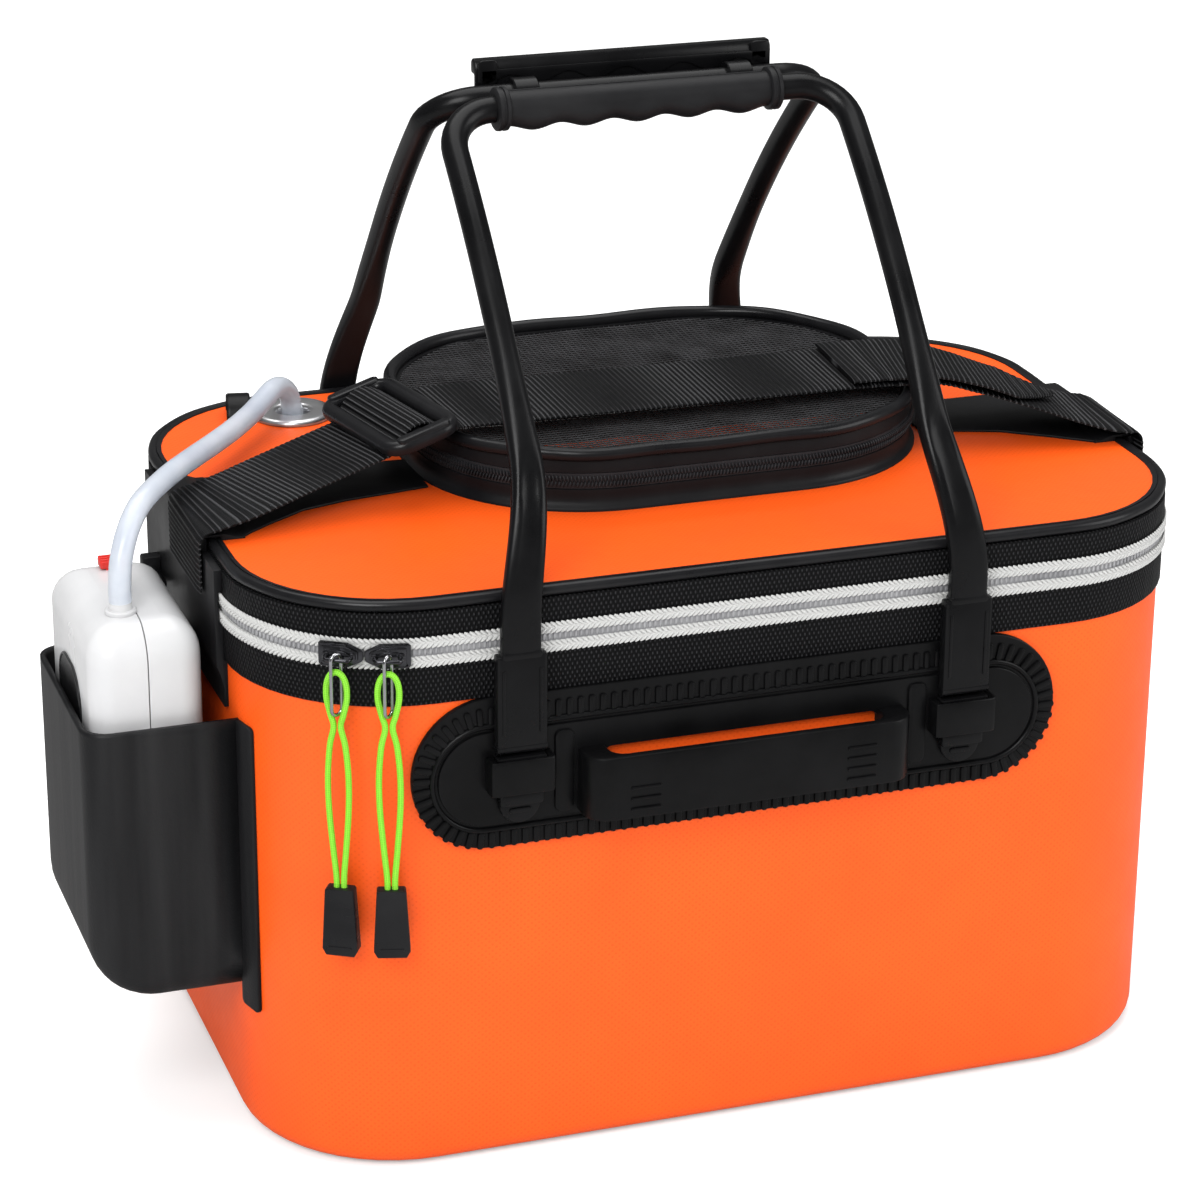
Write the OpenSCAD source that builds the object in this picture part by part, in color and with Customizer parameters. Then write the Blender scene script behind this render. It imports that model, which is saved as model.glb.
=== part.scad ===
// Aerated bait bucket: a soft sheet bucket with a zipped lid, a mesh hatch, two carrying handles,
// a shoulder strap, and a side pocket that holds a battery air pump with its hose and air stone.
// Millimetres. X runs left to right, Y front to back, Z up. The origin is the middle of the base.

/* [Bucket] */
// Length of the bucket, left to right
bucket_l = 350; // [340:5:400]
// Width of the bucket, front to back
bucket_w = 225; // [205:5:260]
// Height from the ground to the top of the lid sheet
bucket_h = 215; // [205:5:260]
// Radius of the upright corners
corner_r = 58; // [50:1:64]
// Thickness of the wall and floor sheet
wall_t = 3; // [2:0.5:4]
// Radius of the rounded edge round the floor
floor_edge_r = 7; // [4:1:10]
// Height of the floor tray that the wall is welded to
tray_h = 14; // [12:1:20]

/* [Zipper band] */
// Height of the band of woven tape, from its lower edge to the lid
band_h = 37; // [34:1:44]
// How far the tape stands proud of the wall
tape_t = 1.2; // [0.8:0.1:1.4]
// Distance from the lid's top down to the middle of the zipper
zip_drop = 17.5; // [15:0.5:20]
// Diameter of each white row of the zipper
zip_row_d = 4.6; // [3.6:0.2:5]
// Slit between the two rows, filled by the teeth
zip_slit = 2.2; // [1.6:0.2:3]
// Diameter of the piping round the lid
piping_d = 5; // [4:0.5:6]
// Thickness of the lid sheet
lid_t = 2.5; // [2:0.5:3.5]

/* [Hatch] */
// Length of the oval hatch
hatch_l = 190; // [170:2:196]
// Width of the oval hatch
hatch_w = 152; // [134:2:160]
// Height of the hatch collar above the lid
hatch_h = 21; // [18:1:26]
// Thickness of the collar's cloth
collar_t = 2; // [1.5:0.5:3]
// Diameter of the hatch's zipper coil
hatch_zip_d = 4.4; // [3:0.2:5]
// Distance between the strands of the net
net_pitch = 10; // [9:0.2:12]
// Width of one strand of the net
net_strand = 1.4; // [1:0.1:2]

/* [Handle plates] */
// Length of a handle plate
plate_l = 239; // [225:1:250]
// Height of a handle plate
plate_h = 56; // [52:1:62]
// Distance from the lid's top down to the middle of the plate
plate_drop = 65; // [63:1:70]
// Thickness of the plate's base
plate_t = 2; // [1.5:0.5:3]
// Width of the crimped rim
rim_w = 7; // [6:1:9]
// Distance between the rim's ribs
rib_pitch = 4; // [3.5:0.5:6]
// Length of the grab bar between its posts
grab_l = 121; // [109:2:121]
// Height of the grab bar
grab_h = 24; // [20:1:26]
// How far the grab bar stands off the plate
grab_reach = 14; // [12:1:20]
// Thickness of the grab bar
grab_t = 4; // [3:0.5:5]

/* [Carrying handles] */
// Distance between the two legs of a handle, at the plate
leg_span = 164; // [164:1:170]
// Width of a handle's strap at the plate
strap_leg_w = 18; // [16:1:20]
// Thickness of a handle's strap
strap_leg_t = 5; // [4:0.5:6]
// Diameter of the tube along the top of a handle
tube_d = 9.5; // [8:0.5:11]
// Height of the top tubes above the lid
handle_rise = 138; // [120:2:160]
// Distance between the two top tubes
tube_gap = 15; // [14:0.5:20]
// Distance between the two legs of a handle, at the top
top_span = 148; // [145:1:160]
// Diameter of the grip sleeve
grip_d = 12.6; // [11.5:0.2:13]
// Length of the grip sleeve
grip_l = 97; // [85:2:97]

/* [Shoulder strap] */
// Width of the webbing
webbing_w = 48; // [38:1:52]
// Thickness of the webbing
webbing_t = 1.8; // [1.4:0.1:2.2]

/* [Pump] */
// Height of the pump case
pump_h = 133; // [131:1:140]
// Width of the pump case, front to back
pump_w = 76; // [74:1:80]
// Depth of the pump case, away from the bucket
pump_d = 40; // [38:1:44]
// Thickness of the pump case's wall
case_t = 2; // [1.5:0.5:2.5]
// Diameter of one battery
battery_d = 33; // [30:0.5:33.5]
// Length of one battery
battery_l = 60; // [50:1:61]

/* [Pocket] */
// Thickness of the pocket's sheet
pocket_t = 2; // [1.5:0.5:3]
// Distance from the lid's top down to the pocket's mouth
pocket_drop = 55; // [53:1:75]

/* [Hose and grommet] */
// Outside diameter of the hose
hose_d = 8; // [7:0.5:8]
// Outside diameter of the grommet's flange
grommet_d = 31; // [28:1:34]
// Diameter of the hole through the grommet
grommet_hole_d = 13; // [12:0.5:15]

/* [Hidden] */
$fn = 64;
clear = 0.4;          // running clearance between a moving piece and what it passes

// Bucket
band_z = bucket_h - band_h;
tape_lap = 6;         // how far the wall runs up behind the lower tape
zip_z = bucket_h - zip_drop;
row_step = (zip_row_d + zip_slit) / 2;
row_out = 0.1;        // the rows' centre, outside the wall's face
piping_out = -0.8;    // the piping's centre, outside the wall's face
piping_z = bucket_h - 1.2;
row_face = row_out + zip_row_d / 2;
piping_face = piping_out + piping_d / 2;

// Hatch
hatch_back = 8.5;     // from the hatch to the bucket's back face
hatch_x = 8.5;
hatch_y = bucket_w / 2 - hatch_w / 2 - hatch_back;
hatch_r = 62;
flange_w = 2;
hatch_rim_d = 5;
rim_bed = 1.5;        // from the piping's centre down to the collar's top, which it is sunk into
hatch_top = bucket_h + hatch_h;
hatch_zip_z = bucket_h + 11;

// Grommet
grommet_x = 61 - bucket_l / 2;
grommet_y = bucket_w / 2 - 24.5;
grommet_t = 2.4;
barrel_t = 1;

// Plates and handles
plate_z = bucket_h - plate_drop;
plate_x = -7;         // the plates and handles stand left of the middle
panel_t = 1;
rib_t = 1;
plate_face = bucket_w / 2 + plate_t;
panel_face = plate_face + panel_t;
leg_y = panel_face + clear + strap_leg_t / 2;
leg_x = leg_span / 2;
pivot_z = plate_z + 11;
socket_top = pivot_z - 4;
socket_h = 13;
socket_w = strap_leg_w + 5.5;
socket_t = 1.6;
foot_t = leg_y + strap_leg_t / 2 - panel_face;
step_z = plate_z + 45;
window_l = 102;
window_h = 24;
window_down = 7;      // from the plate's middle down to the window's
rim_down = 1.7;       // from the plate's middle down to the middle of the crimped rim
bead_w = 2;
rib_len = 5.5;
grab_low = 18;        // from the plate's middle down to the grab bar's lower edge
post_w = 10;          // width of a post of the grab bar
tube_z = bucket_h + handle_rise;
tube_y = tube_gap / 2;

// Arch of a handle's leg, seen from the side: straight, then a small arc, then a large one
arch_z0 = bucket_h - 12;
arch_a1 = 34.5;
arch_r1 = 83;
arch_y1 = leg_y - arch_r1 * (1 - cos(arch_a1));
arch_z1 = arch_z0 + arch_r1 * sin(arch_a1);
bend_r = 17;
chord_a = atan2(arch_y1 - tube_y, tube_z - arch_z1);
arch_a2 = 2 * chord_a - arch_a1;
arch_r2 = norm([arch_y1 - tube_y, tube_z - arch_z1]) / (2 * sin((arch_a2 - arch_a1) / 2));

// Sliders and pulls, round the front left corner
corner_x = corner_r - bucket_l / 2;
corner_y = corner_r - bucket_w / 2;
left_slider_a = 31;   // angle round the corner from the front face
right_slider_a = 16;
slider_l = 15.5;
slider_h = 9;
slider_in = row_face + clear;
slider_t = 2.8;
lug_d = 1.6;
lug_out = slider_in + slider_t + 3.3;
ring_r = 2.2;
ring_d = 1.4;
ring_l = 17.5;
cord_d = 2.2;
tab_top = 86.5;       // distance from the zipper's middle down to the tab's top
tab_h = 27;
tab_t = 5;

// Pocket and pump
pump_gap = 9;         // from the bucket's wall to the pump
pump_x1 = -bucket_l / 2 - pump_gap;
pump_x0 = pump_x1 - pump_d;
pump_y0 = -60;
pump_z0 = bucket_h - 153;
pump_x = (pump_x0 + pump_x1) / 2;
pump_y = pump_y0 + pump_w / 2;
pump_top = pump_z0 + pump_h;
pocket_top = bucket_h - pocket_drop;
pocket_x0 = pump_x0 - pocket_t - 2.5;
pocket_y0 = pump_y0 - pocket_t - 3.5;
pocket_y1 = pump_y0 + pump_w + pocket_t + 3.5;
pocket_z0 = pump_z0 - pocket_t - 5;
pocket_round = 24;    // radius of the pocket's lower outer edge

// Strap
patch_t = 1.5;
patch_out = row_face + 0.1;
patch_face = patch_out + patch_t;
bed_t = 1;
strap_y = -4;

// Hose: up from the pump's outlet, across to the grommet, and down to the air stone. The middle
// points are shares of the way across and heights above the lid; the last ones are measured from
// the grommet's line and the floor.
outlet_h = 4;
outlet_x = pump_x - 5;
outlet_y = pump_y0 + 19;
outlet_z = pump_top + outlet_h;
hose_start = [outlet_x, outlet_y, 0];
hose_way = [grommet_x - outlet_x, grommet_y - outlet_y, 0];
hose_route = concat(
    [for (z = [0, 2.5, 5]) [outlet_x, outlet_y, outlet_z + z]],
    [for (v = [[0.012, -2], [0.046, 6], [0.098, 11.5], [0.16, 14], [0.278, 15], [0.401, 14.5], [0.526, 13.5],
        [0.646, 13], [0.752, 13.5], [0.825, 15], [0.88, 16], [0.93, 14.6], [0.972, 10.4], [0.994, 4]])
        hose_start + v[0] * hose_way + [0, 0, bucket_h + v[1]]],
    [for (z = [bucket_h - 3:-24:60]) [grommet_x, grommet_y, z]],
    [for (v = [[1, 46], [5, 33], [12.5, 22], [23, 14.5], [34, 11.6], [46, 11]])
        [grommet_x + v[0], grommet_y, v[1]]]);

// ---------------------------------------------------------------- shared shapes

module rounded_plan(l, w, r) {
    square([l - 2 * r, w], center = true);
    square([l, w - 2 * r], center = true);
    for (x = [-1, 1], y = [-1, 1])
        translate([x * (l / 2 - r), y * (w / 2 - r)]) circle(r);
}

// The bucket's outline, moved outwards by out
module bucket_plan(out = 0) {
    rounded_plan(bucket_l + 2 * out, bucket_w + 2 * out, corner_r + out);
}

// A wall that follows the bucket's outline between two offsets from its face
module bucket_ring(inner, outer, z0, z1) {
    translate([0, 0, z0]) linear_extrude(z1 - z0) difference() {
        bucket_plan(outer);
        bucket_plan(inner);
    }
}

// A round cord that runs round a rectangle with round corners
module round_run(l, w, r, d) {
    for (i = [0:3]) {
        sx = [1, -1, -1, 1][i];
        sy = [1, 1, -1, -1][i];
        translate([sx * (l / 2 - r), sy * (w / 2 - r), 0])
            rotate(i * 90) rotate_extrude(angle = 90) translate([r, 0]) circle(d = d);
    }
    for (s = [-1, 1]) {
        translate([r - l / 2, s * w / 2, 0]) rotate([0, 90, 0]) cylinder(d = d, h = l - 2 * r);
        translate([s * l / 2, r - w / 2, 0]) rotate([-90, 0, 0]) cylinder(d = d, h = w - 2 * r);
    }
}

module bucket_run(out, z, d) {
    translate([0, 0, z]) round_run(bucket_l + 2 * out, bucket_w + 2 * out, corner_r + out, d);
}

module stadium(l, h) {
    square([l - h, h], center = true);
    for (s = [-1, 1]) translate([s * (l - h) / 2, 0]) circle(d = h);
}

// A block with its edges rounded in all three views
module soft_block(size, r) {
    intersection() {
        translate([0, 0, -size[2] / 2]) linear_extrude(size[2]) rounded_plan(size[0], size[1], r[0]);
        rotate([90, 0, 0]) translate([0, 0, -size[1] / 2])
            linear_extrude(size[1]) rounded_plan(size[0], size[2], r[1]);
        rotate([90, 0, 90]) translate([0, 0, -size[0] / 2])
            linear_extrude(size[0]) rounded_plan(size[1], size[2], r[2]);
    }
}

// Solid through closed rings of points, with flat ends: each ring runs counterclockwise
// as seen from further along the route
module loft(rings) {
    n = len(rings[0]);
    m = len(rings);
    points = [for (ring = rings) each ring];
    sides = [for (i = [0:m - 2], k = [0:n - 1]) let (a = i * n + k, b = i * n + (k + 1) % n)
        each [[a, b + n, b], [a, a + n, b + n]]];
    first = [for (k = [1:n - 2]) [0, k, k + 1]];
    last = [for (k = [1:n - 2]) [(m - 1) * n, (m - 1) * n + k + 1, (m - 1) * n + k]];
    polyhedron(points, concat(first, sides, last), convexity = 8);
}

function unit(v) = v / norm(v);
function tangent(p, i) = unit(p[min(i + 1, len(p) - 1)] - p[max(i - 1, 0)]);
function lerp(a, b, t) = a + (b - a) * t;
function smooth(t) = let (u = min(1, max(0, t))) u * u * (3 - 2 * u);

// Point at t on a curve through b and c, with a and d as their neighbours
function spline_point(a, b, c, d, t) =
    (2 * b + (c - a) * t + (2 * a - 5 * b + 4 * c - d) * t * t + (3 * b - a - 3 * c + d) * t * t * t) / 2;
function spline(p, steps) = [for (i = [0:len(p) - 2], k = [0:steps - 1])
    spline_point(p[max(i - 1, 0)], p[i], p[i + 1], p[min(i + 2, len(p) - 1)], k / steps),
    p[len(p) - 1]];

// Round tube along a route: the rings keep their turn from one to the next
function carry(u, t) = unit(u - t * (u * t));
function frames(p, u, i = 0) = i >= len(p) ? [] :
    let (t = tangent(p, i), v = carry(u, t)) concat([[v, cross(t, v)]], frames(p, v, i + 1));
module tube(p, d, sides, start) {
    f = frames(p, start);
    loft([for (i = [0:len(p) - 1]) [for (k = [0:sides - 1])
        p[i] + d / 2 * (f[i][0] * cos(k * 360 / sides) + f[i][1] * sin(k * 360 / sides))]]);
}

// Flat webbing along a route; the fourth value of a point is its share of the full width
module ribbon(p, w, t) {
    q = [for (v = p) [v[0], v[1], v[2]]];
    loft([for (i = [0:len(p) - 1]) let (
        along = tangent(q, i),
        side = carry([0, 1, 0], along),
        up = cross(along, side),
        half = w / 2 * (len(p[i]) > 3 ? p[i][3] : 1))
        [q[i] + side * half - up * t / 2, q[i] + side * half + up * t / 2,
         q[i] - side * half + up * t / 2, q[i] - side * half - up * t / 2]]);
}

// ---------------------------------------------------------------- bucket

module floor_tray() color("orangered") {
    difference() {
        hull() {
            for (a = [0:22.5:90]) let (inset = floor_edge_r * (1 - sin(a)))
                translate([0, 0, floor_edge_r * (1 - cos(a))])
                    linear_extrude(a < 90 ? 0.1 : tray_h - floor_edge_r) bucket_plan(-inset);
        }
        translate([0, 0, wall_t]) linear_extrude(tray_h) bucket_plan(-wall_t);
    }
}

module bucket_wall() color("orangered")
    bucket_ring(-wall_t, 0, tray_h, band_z + tape_lap);

module lower_zip_tape() color("dimgray") difference() {
    union() {
        bucket_ring(0, tape_t, band_z, band_z + tape_lap);
        bucket_ring(-wall_t, tape_t, band_z + tape_lap, zip_z - row_step);
    }
    bucket_run(row_out, zip_z - row_step, zip_row_d);
}

module lower_zip_row() color("white") bucket_run(row_out, zip_z - row_step, zip_row_d);

module upper_zip_row() color("white") bucket_run(row_out, zip_z + row_step, zip_row_d);

module zip_teeth() color("silver") difference() {
    bucket_ring(-zip_row_d / 2, tape_t, zip_z - row_step, zip_z + row_step);
    for (s = [-1, 1]) bucket_run(row_out, zip_z + s * row_step, zip_row_d);
}

module lid_blank(t) {
    translate([0, 0, bucket_h - lid_t]) linear_extrude(t) bucket_plan(piping_out);
}

module upper_zip_tape() color("dimgray") difference() {
    bucket_ring(-wall_t - 2, tape_t, zip_z + row_step, piping_z);
    bucket_run(row_out, zip_z + row_step, zip_row_d);
    bucket_run(piping_out, piping_z, piping_d);
    lid_blank(lid_t);
}

module lid_panel() color("orangered") difference() {
    lid_blank(lid_t);
    bucket_run(piping_out, piping_z, piping_d);
    at_hatch() translate([0, 0, -lid_t - 1]) linear_extrude(lid_t + 2) hatch_plan(-collar_t);
    translate([grommet_x, grommet_y, bucket_h - lid_t - 1])
        cylinder(d = grommet_hole_d + 2 * barrel_t, h = lid_t + 2);
}

module lid_piping() color("black") bucket_run(piping_out, piping_z, piping_d);

// ---------------------------------------------------------------- hatch

module at_hatch() translate([hatch_x, hatch_y, bucket_h]) children();

module hatch_plan(out = 0) rounded_plan(hatch_l + 2 * out, hatch_w + 2 * out, hatch_r + out);

module hatch_run(out, z, d)
    at_hatch() translate([0, 0, z]) round_run(hatch_l + 2 * out, hatch_w + 2 * out, hatch_r + out, d);

module hatch_collar() color("black") difference() {
    at_hatch() {
        translate([0, 0, -lid_t]) linear_extrude(lid_t) difference() {
            hatch_plan(-collar_t);
            hatch_plan(-2 * collar_t);
        }
        linear_extrude(hatch_h - rim_bed) difference() {
            hatch_plan(0);
            hatch_plan(-2 * collar_t);
        }
        linear_extrude(1) difference() {
            hatch_plan(flange_w);
            hatch_plan(-collar_t);
        }
    }
    hatch_run(0, hatch_zip_z - bucket_h, hatch_zip_d);
    hatch_run(-0.5, hatch_h, hatch_rim_d);
}

module hatch_zip_coil() color("black") hatch_run(0, hatch_zip_z - bucket_h, hatch_zip_d);

module hatch_piping() color("black") hatch_run(-0.5, hatch_h, hatch_rim_d);

// Net of straight strands, those along the hatch below those across it
module hatch_net() color("black") at_hatch() translate([0, 0, hatch_h - rim_bed]) {
    nx = floor((hatch_l / 2 - 2 * collar_t - 3) / net_pitch);
    ny = floor((hatch_w / 2 - 2 * collar_t - 3) / net_pitch - 0.5);
    for (i = [-nx:nx]) translate([0, 0, -net_strand]) linear_extrude(net_strand) intersection() {
        hatch_plan(-2 * collar_t);
        translate([i * net_pitch, 0]) square([net_strand, hatch_w], center = true);
    }
    for (j = [-ny - 1:ny]) translate([0, 0, -2 * net_strand - 0.2]) linear_extrude(net_strand) intersection() {
        hatch_plan(-2 * collar_t);
        translate([0, (j + 0.5) * net_pitch]) square([hatch_l, net_strand], center = true);
    }
}

// Slider of the hatch's zipper, on the long straight at the back
module hatch_slider() color("dimgray")
    translate([hatch_x + 22, hatch_y + hatch_w / 2 + hatch_zip_d / 2 + clear, hatch_zip_z]) {
        rotate([-90, 0, 0]) linear_extrude(2.2)
            polygon([[-7, -3.5], [3, -3.5], [7, -1.5], [7, 1.5], [3, 3.5], [-7, 3.5]]);
        translate([-4, 2.2, -1]) cube([6, 1.6, 2]);
        translate([-2.5, 3.8, -9]) cube([3, 1.4, 11]);
    }

// ---------------------------------------------------------------- handle plates

// Sets children on the front face, or turns them to the back face
module on_front() translate([plate_x, 0, 0]) children();
module on_back() on_front() rotate(180) children();

// Draws a flat outline, x to the right and y upwards, on the plate, between two distances out
module on_plate(near, far) translate([0, -near, plate_z]) rotate([90, 0, 0])
    linear_extrude(far - near) children();

module plate_base() {
    difference() {
        union() {
            on_plate(bucket_w / 2, plate_face) stadium(plate_l, plate_h);
            on_plate(plate_face, panel_face) translate([0, -rim_down])
                stadium(plate_l - 2 * rim_w - 4, plate_h - 2 * rim_w - 4 - 2 * rim_down);
        }
        on_plate(bucket_w / 2 - 1, panel_face + 1) translate([0, -window_down])
            square([window_l, window_h], center = true);
    }
    // Low pads beside the sockets
    for (s = [-1, 1]) on_plate(panel_face, panel_face + 1.2)
        translate([s * (leg_x - 16.5), -rim_down])
            square([7, plate_h - 2 * rim_w - 8 - 2 * rim_down], center = true);
}

// The grab bar: a flat bar whose round ends return to the plate
module grab_bar() {
    reach = plate_face + grab_reach;
    end_r = 10;
    translate([0, 0, plate_z - grab_low]) linear_extrude(grab_h) difference() {
        translate([0, -reach / 2]) rounded_plan(grab_l, reach, end_r);
        translate([0, -(reach - grab_t) / 2]) rounded_plan(grab_l - 2 * post_w, reach - grab_t, 5);
        translate([-grab_l / 2 - 1, -panel_face]) square([grab_l + 2, panel_face + 1]);
    }
    // Fine ribs beside the right end of the bar, and a moulded line
    for (i = [0:3]) translate([grab_l / 2 - 26, -reach - 0.6, plate_z - 14 + i * 4]) cube([13, 0.7, 1.2]);
    for (i = [0:2]) translate([13 - grab_l / 2, -reach - 0.6, plate_z - 14 + i * 4]) cube([9, 0.7, 1.2]);
}

// A bridge over each foot that holds the handle down
module socket_band(x) translate([x, 0, 0]) difference() {
    translate([-socket_w / 2, -panel_face - foot_t - socket_t, socket_top - socket_h])
        cube([socket_w, foot_t + socket_t, socket_h]);
    translate([-strap_leg_w / 2, -panel_face - foot_t, socket_top - socket_h - 1])
        cube([strap_leg_w, foot_t + 1, socket_h + 2]);
}

module plate() {
    plate_base();
    grab_bar();
    for (s = [-1, 1]) socket_band(s * leg_x);
}

// The crimped rim: a bead, and a row of short ribs outside it all the way round. It lies below
// the plate's middle, so a smooth band is left above.
module plate_rim() {
    bead_h = plate_h - 2 * rim_w + 2 - 2 * rim_down;
    bead_l = plate_l - 2 * rim_w + 2;
    run = bead_l - bead_h;
    rib_r = (bead_h + rib_len) / 2;
    n_side = round(run / rib_pitch);
    n_end = round(PI * rib_r / rib_pitch);
    on_plate(plate_face, plate_face + rib_t) translate([0, -rim_down]) {
        difference() {
            stadium(bead_l, bead_h);
            stadium(bead_l - 2 * bead_w, bead_h - 2 * bead_w);
        }
        for (i = [0:n_side - 1], s = [-1, 1])
            translate([(i + 0.5) * run / n_side - run / 2, s * (rib_r - 0.1)])
                square([rib_pitch * 0.62, rib_len + 0.2], center = true);
        for (i = [0:n_end - 1], s = [-1, 1])
            translate([s * run / 2, 0]) rotate((i + 0.5) * 180 / n_end - (s > 0 ? 90 : -90))
                translate([rib_r - 0.1, 0]) square([rib_len + 0.2, rib_pitch * 0.62], center = true);
    }
}

// What the handle's strap is buckled into: a block under the band, with a round tab below it
module handle_feet() for (s = [-1, 1]) translate([s * leg_x, 0, 0]) {
    translate([-strap_leg_w / 2, -panel_face - foot_t, socket_top - socket_h])
        cube([strap_leg_w, foot_t, pivot_z - strap_leg_t / 2 - 2 * clear - socket_top + socket_h]);
    translate([-strap_leg_w / 2 + 1, -panel_face - foot_t + 0.6, socket_top - socket_h - 5])
        cube([strap_leg_w - 2, foot_t - 0.6, 5]);
    translate([0, -panel_face, socket_top - socket_h - 5]) rotate([90, 0, 0]) intersection() {
        cylinder(d = strap_leg_w - 3, h = 2.4);
        translate([-strap_leg_w / 2, -strap_leg_w, 0]) cube([strap_leg_w, strap_leg_w, 3]);
    }
}

module front_plate() color("black") on_front() plate();
module back_plate() color("black") on_back() plate();
module front_plate_rim() color("black") on_front() plate_rim();
module back_plate_rim() color("black") on_back() plate_rim();
module front_handle_feet() color("black") on_front() handle_feet();
module back_handle_feet() color("black") on_back() handle_feet();

// ---------------------------------------------------------------- carrying handles

// Lower ends of the handle: flat straps that turn about the pivot
module handle_straps() for (s = [-1, 1]) translate([s * leg_x, -leg_y, 0]) {
    translate([-strap_leg_w / 2, 0, pivot_z]) rotate([0, 90, 0]) cylinder(d = strap_leg_t, h = strap_leg_w);
    translate([-strap_leg_w / 2, -strap_leg_t / 2, pivot_z])
        cube([strap_leg_w, strap_leg_t, step_z - pivot_z]);
}

// Centre of the leg at a share u of its way from the step to the top bend, seen from the side
leg_straight = arch_z0 - step_z;
leg_arc1 = arch_r1 * arch_a1 * PI / 180;
leg_arc2 = arch_r2 * (arch_a2 - arch_a1) * PI / 180 - bend_r;
function leg_side(s) =
    s < leg_straight ? [leg_y, step_z + s, 0] :
    s < leg_straight + leg_arc1 ? let (a = (s - leg_straight) / arch_r1 * 180 / PI)
        [leg_y - arch_r1 * (1 - cos(a)), arch_z0 + arch_r1 * sin(a), a] :
    let (a = arch_a1 + (s - leg_straight - leg_arc1) / arch_r2 * 180 / PI)
        [arch_y1 - arch_r2 * (cos(arch_a1) - cos(a)), arch_z1 + arch_r2 * (sin(a) - sin(arch_a1)), a];
leg_len = leg_straight + leg_arc1 + leg_arc2;

// One ring of the handle: flat below, round above, with a groove down the outer face
loop_sides = 16;
function leg_ring(s, side) = let (
    c = leg_side(s),
    turn = smooth((s - leg_straight) / (leg_len * 0.55)),
    inward = smooth((s - leg_straight) / 60),
    half_w = lerp(strap_leg_w / 2 - 2, tube_d / 2, turn),
    half_t = lerp(strap_leg_t / 2, tube_d / 2, turn),
    square_n = lerp(5, 2, turn),
    groove = 1.1 * smooth((s - 22) / 14) * (1 - smooth((s - 44) / 26)),
    x = side * lerp(leg_x, top_span / 2, inward))
    [for (k = [0:loop_sides - 1]) let (
        a = k * 360 / loop_sides,
        u = sign(cos(a)) * pow(abs(cos(a)), 2 / square_n) * half_w,
        v = sign(sin(a)) * pow(abs(sin(a)), 2 / square_n) * half_t,
        cut = sin(a) < -0.9 ? groove : 0)
        [x + u, -c[0] + (v + cut) * cos(c[2]), c[1] - (v + cut) * sin(c[2])]];

// One ring of the bend between a leg and the top tube
function bend_ring(a, side) = let (
    top = leg_side(leg_len),
    lean = top[2],
    up = [0, sin(lean), cos(lean)],
    inner = [0, cos(lean), -sin(lean)],
    centre = [side * (top_span / 2 - bend_r), -top[0], top[1]],
    radial = [side * cos(a), 0, 0] + up * sin(a))
    [for (k = [0:loop_sides - 1]) let (b = k * 360 / loop_sides)
        centre + radial * bend_r + tube_d / 2 * (radial * side * cos(b) + inner * sin(b))];

module handle_loop() {
    leg_steps = 22;
    bend_steps = 6;
    left = [for (i = [0:leg_steps]) leg_ring(i * leg_len / leg_steps, -1)];
    left_bend = [for (i = [1:bend_steps]) bend_ring(i * 90 / bend_steps, -1)];
    // On the right leg the rings are met from the top down, so their sides run the other way
    right_bend = [for (i = [bend_steps:-1:1]) flip(bend_ring(i * 90 / bend_steps, 1))];
    right = [for (i = [leg_steps:-1:0]) flip(leg_ring(i * leg_len / leg_steps, 1))];
    loft(concat(left, left_bend, right_bend, right));
}
// Renumbers a ring so that it runs on from the rings of the other leg
function flip(ring) = [for (k = [0:loop_sides - 1])
    ring[(loop_sides / 2 - k + loop_sides) % loop_sides]];

module front_handle_straps() color("black") on_front() handle_straps();
module back_handle_straps() color("black") on_back() handle_straps();
module front_handle_loop() color("black") on_front() handle_loop();
module back_handle_loop() color("black") on_back() handle_loop();

// Centre line of the top tubes, worked out from the end of the leg
bar_y = leg_side(leg_len)[0] - bend_r * sin(leg_side(leg_len)[2]);
bar_z = leg_side(leg_len)[1] + bend_r * cos(leg_side(leg_len)[2]);
cover_l = 112;
cover_t = 2.2;
cover_gap = 2;
cover_h = 14;
clip_w = 9;
grip_x = plate_x - 3;  // middle of the grip

// Runs children along the top tube of the front handle, from the grip's middle, with their Z on its line
module along_bar() translate([grip_x, -bar_y, bar_z]) rotate([90, 0, 90]) children();

// Grip on the front tube: smooth above, with finger grooves below
module grip_sleeve() color("black") {
    waves = 5;
    swell = 1.9;
    steps = 60;
    along_bar() difference() {
        union() {
            cylinder(d = grip_d, h = grip_l, center = true);
            intersection() {
                rotate_extrude() polygon(concat([[0, -grip_l / 2]], [for (i = [0:steps])
                    [grip_d / 2 + swell * (1 - cos(i * 360 * waves / steps)) / 2,
                     (i / steps - 0.5) * grip_l]], [[0, grip_l / 2]]));
                translate([0, -grip_d, 0]) cube([2 * grip_d, 2 * grip_d, grip_l + 2], center = true);
            }
        }
        cylinder(d = tube_d, h = grip_l + 2, center = true);
    }
}

// Rings that close the two ends of the grip
module grip_collars() color("black") for (s = [-1, 1]) along_bar()
    translate([0, 0, s * (grip_l / 2 + 2.25)]) difference() {
        cylinder(d = grip_d + 3, h = 4.5, center = true);
        cylinder(d = tube_d, h = 6, center = true);
    }

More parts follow.
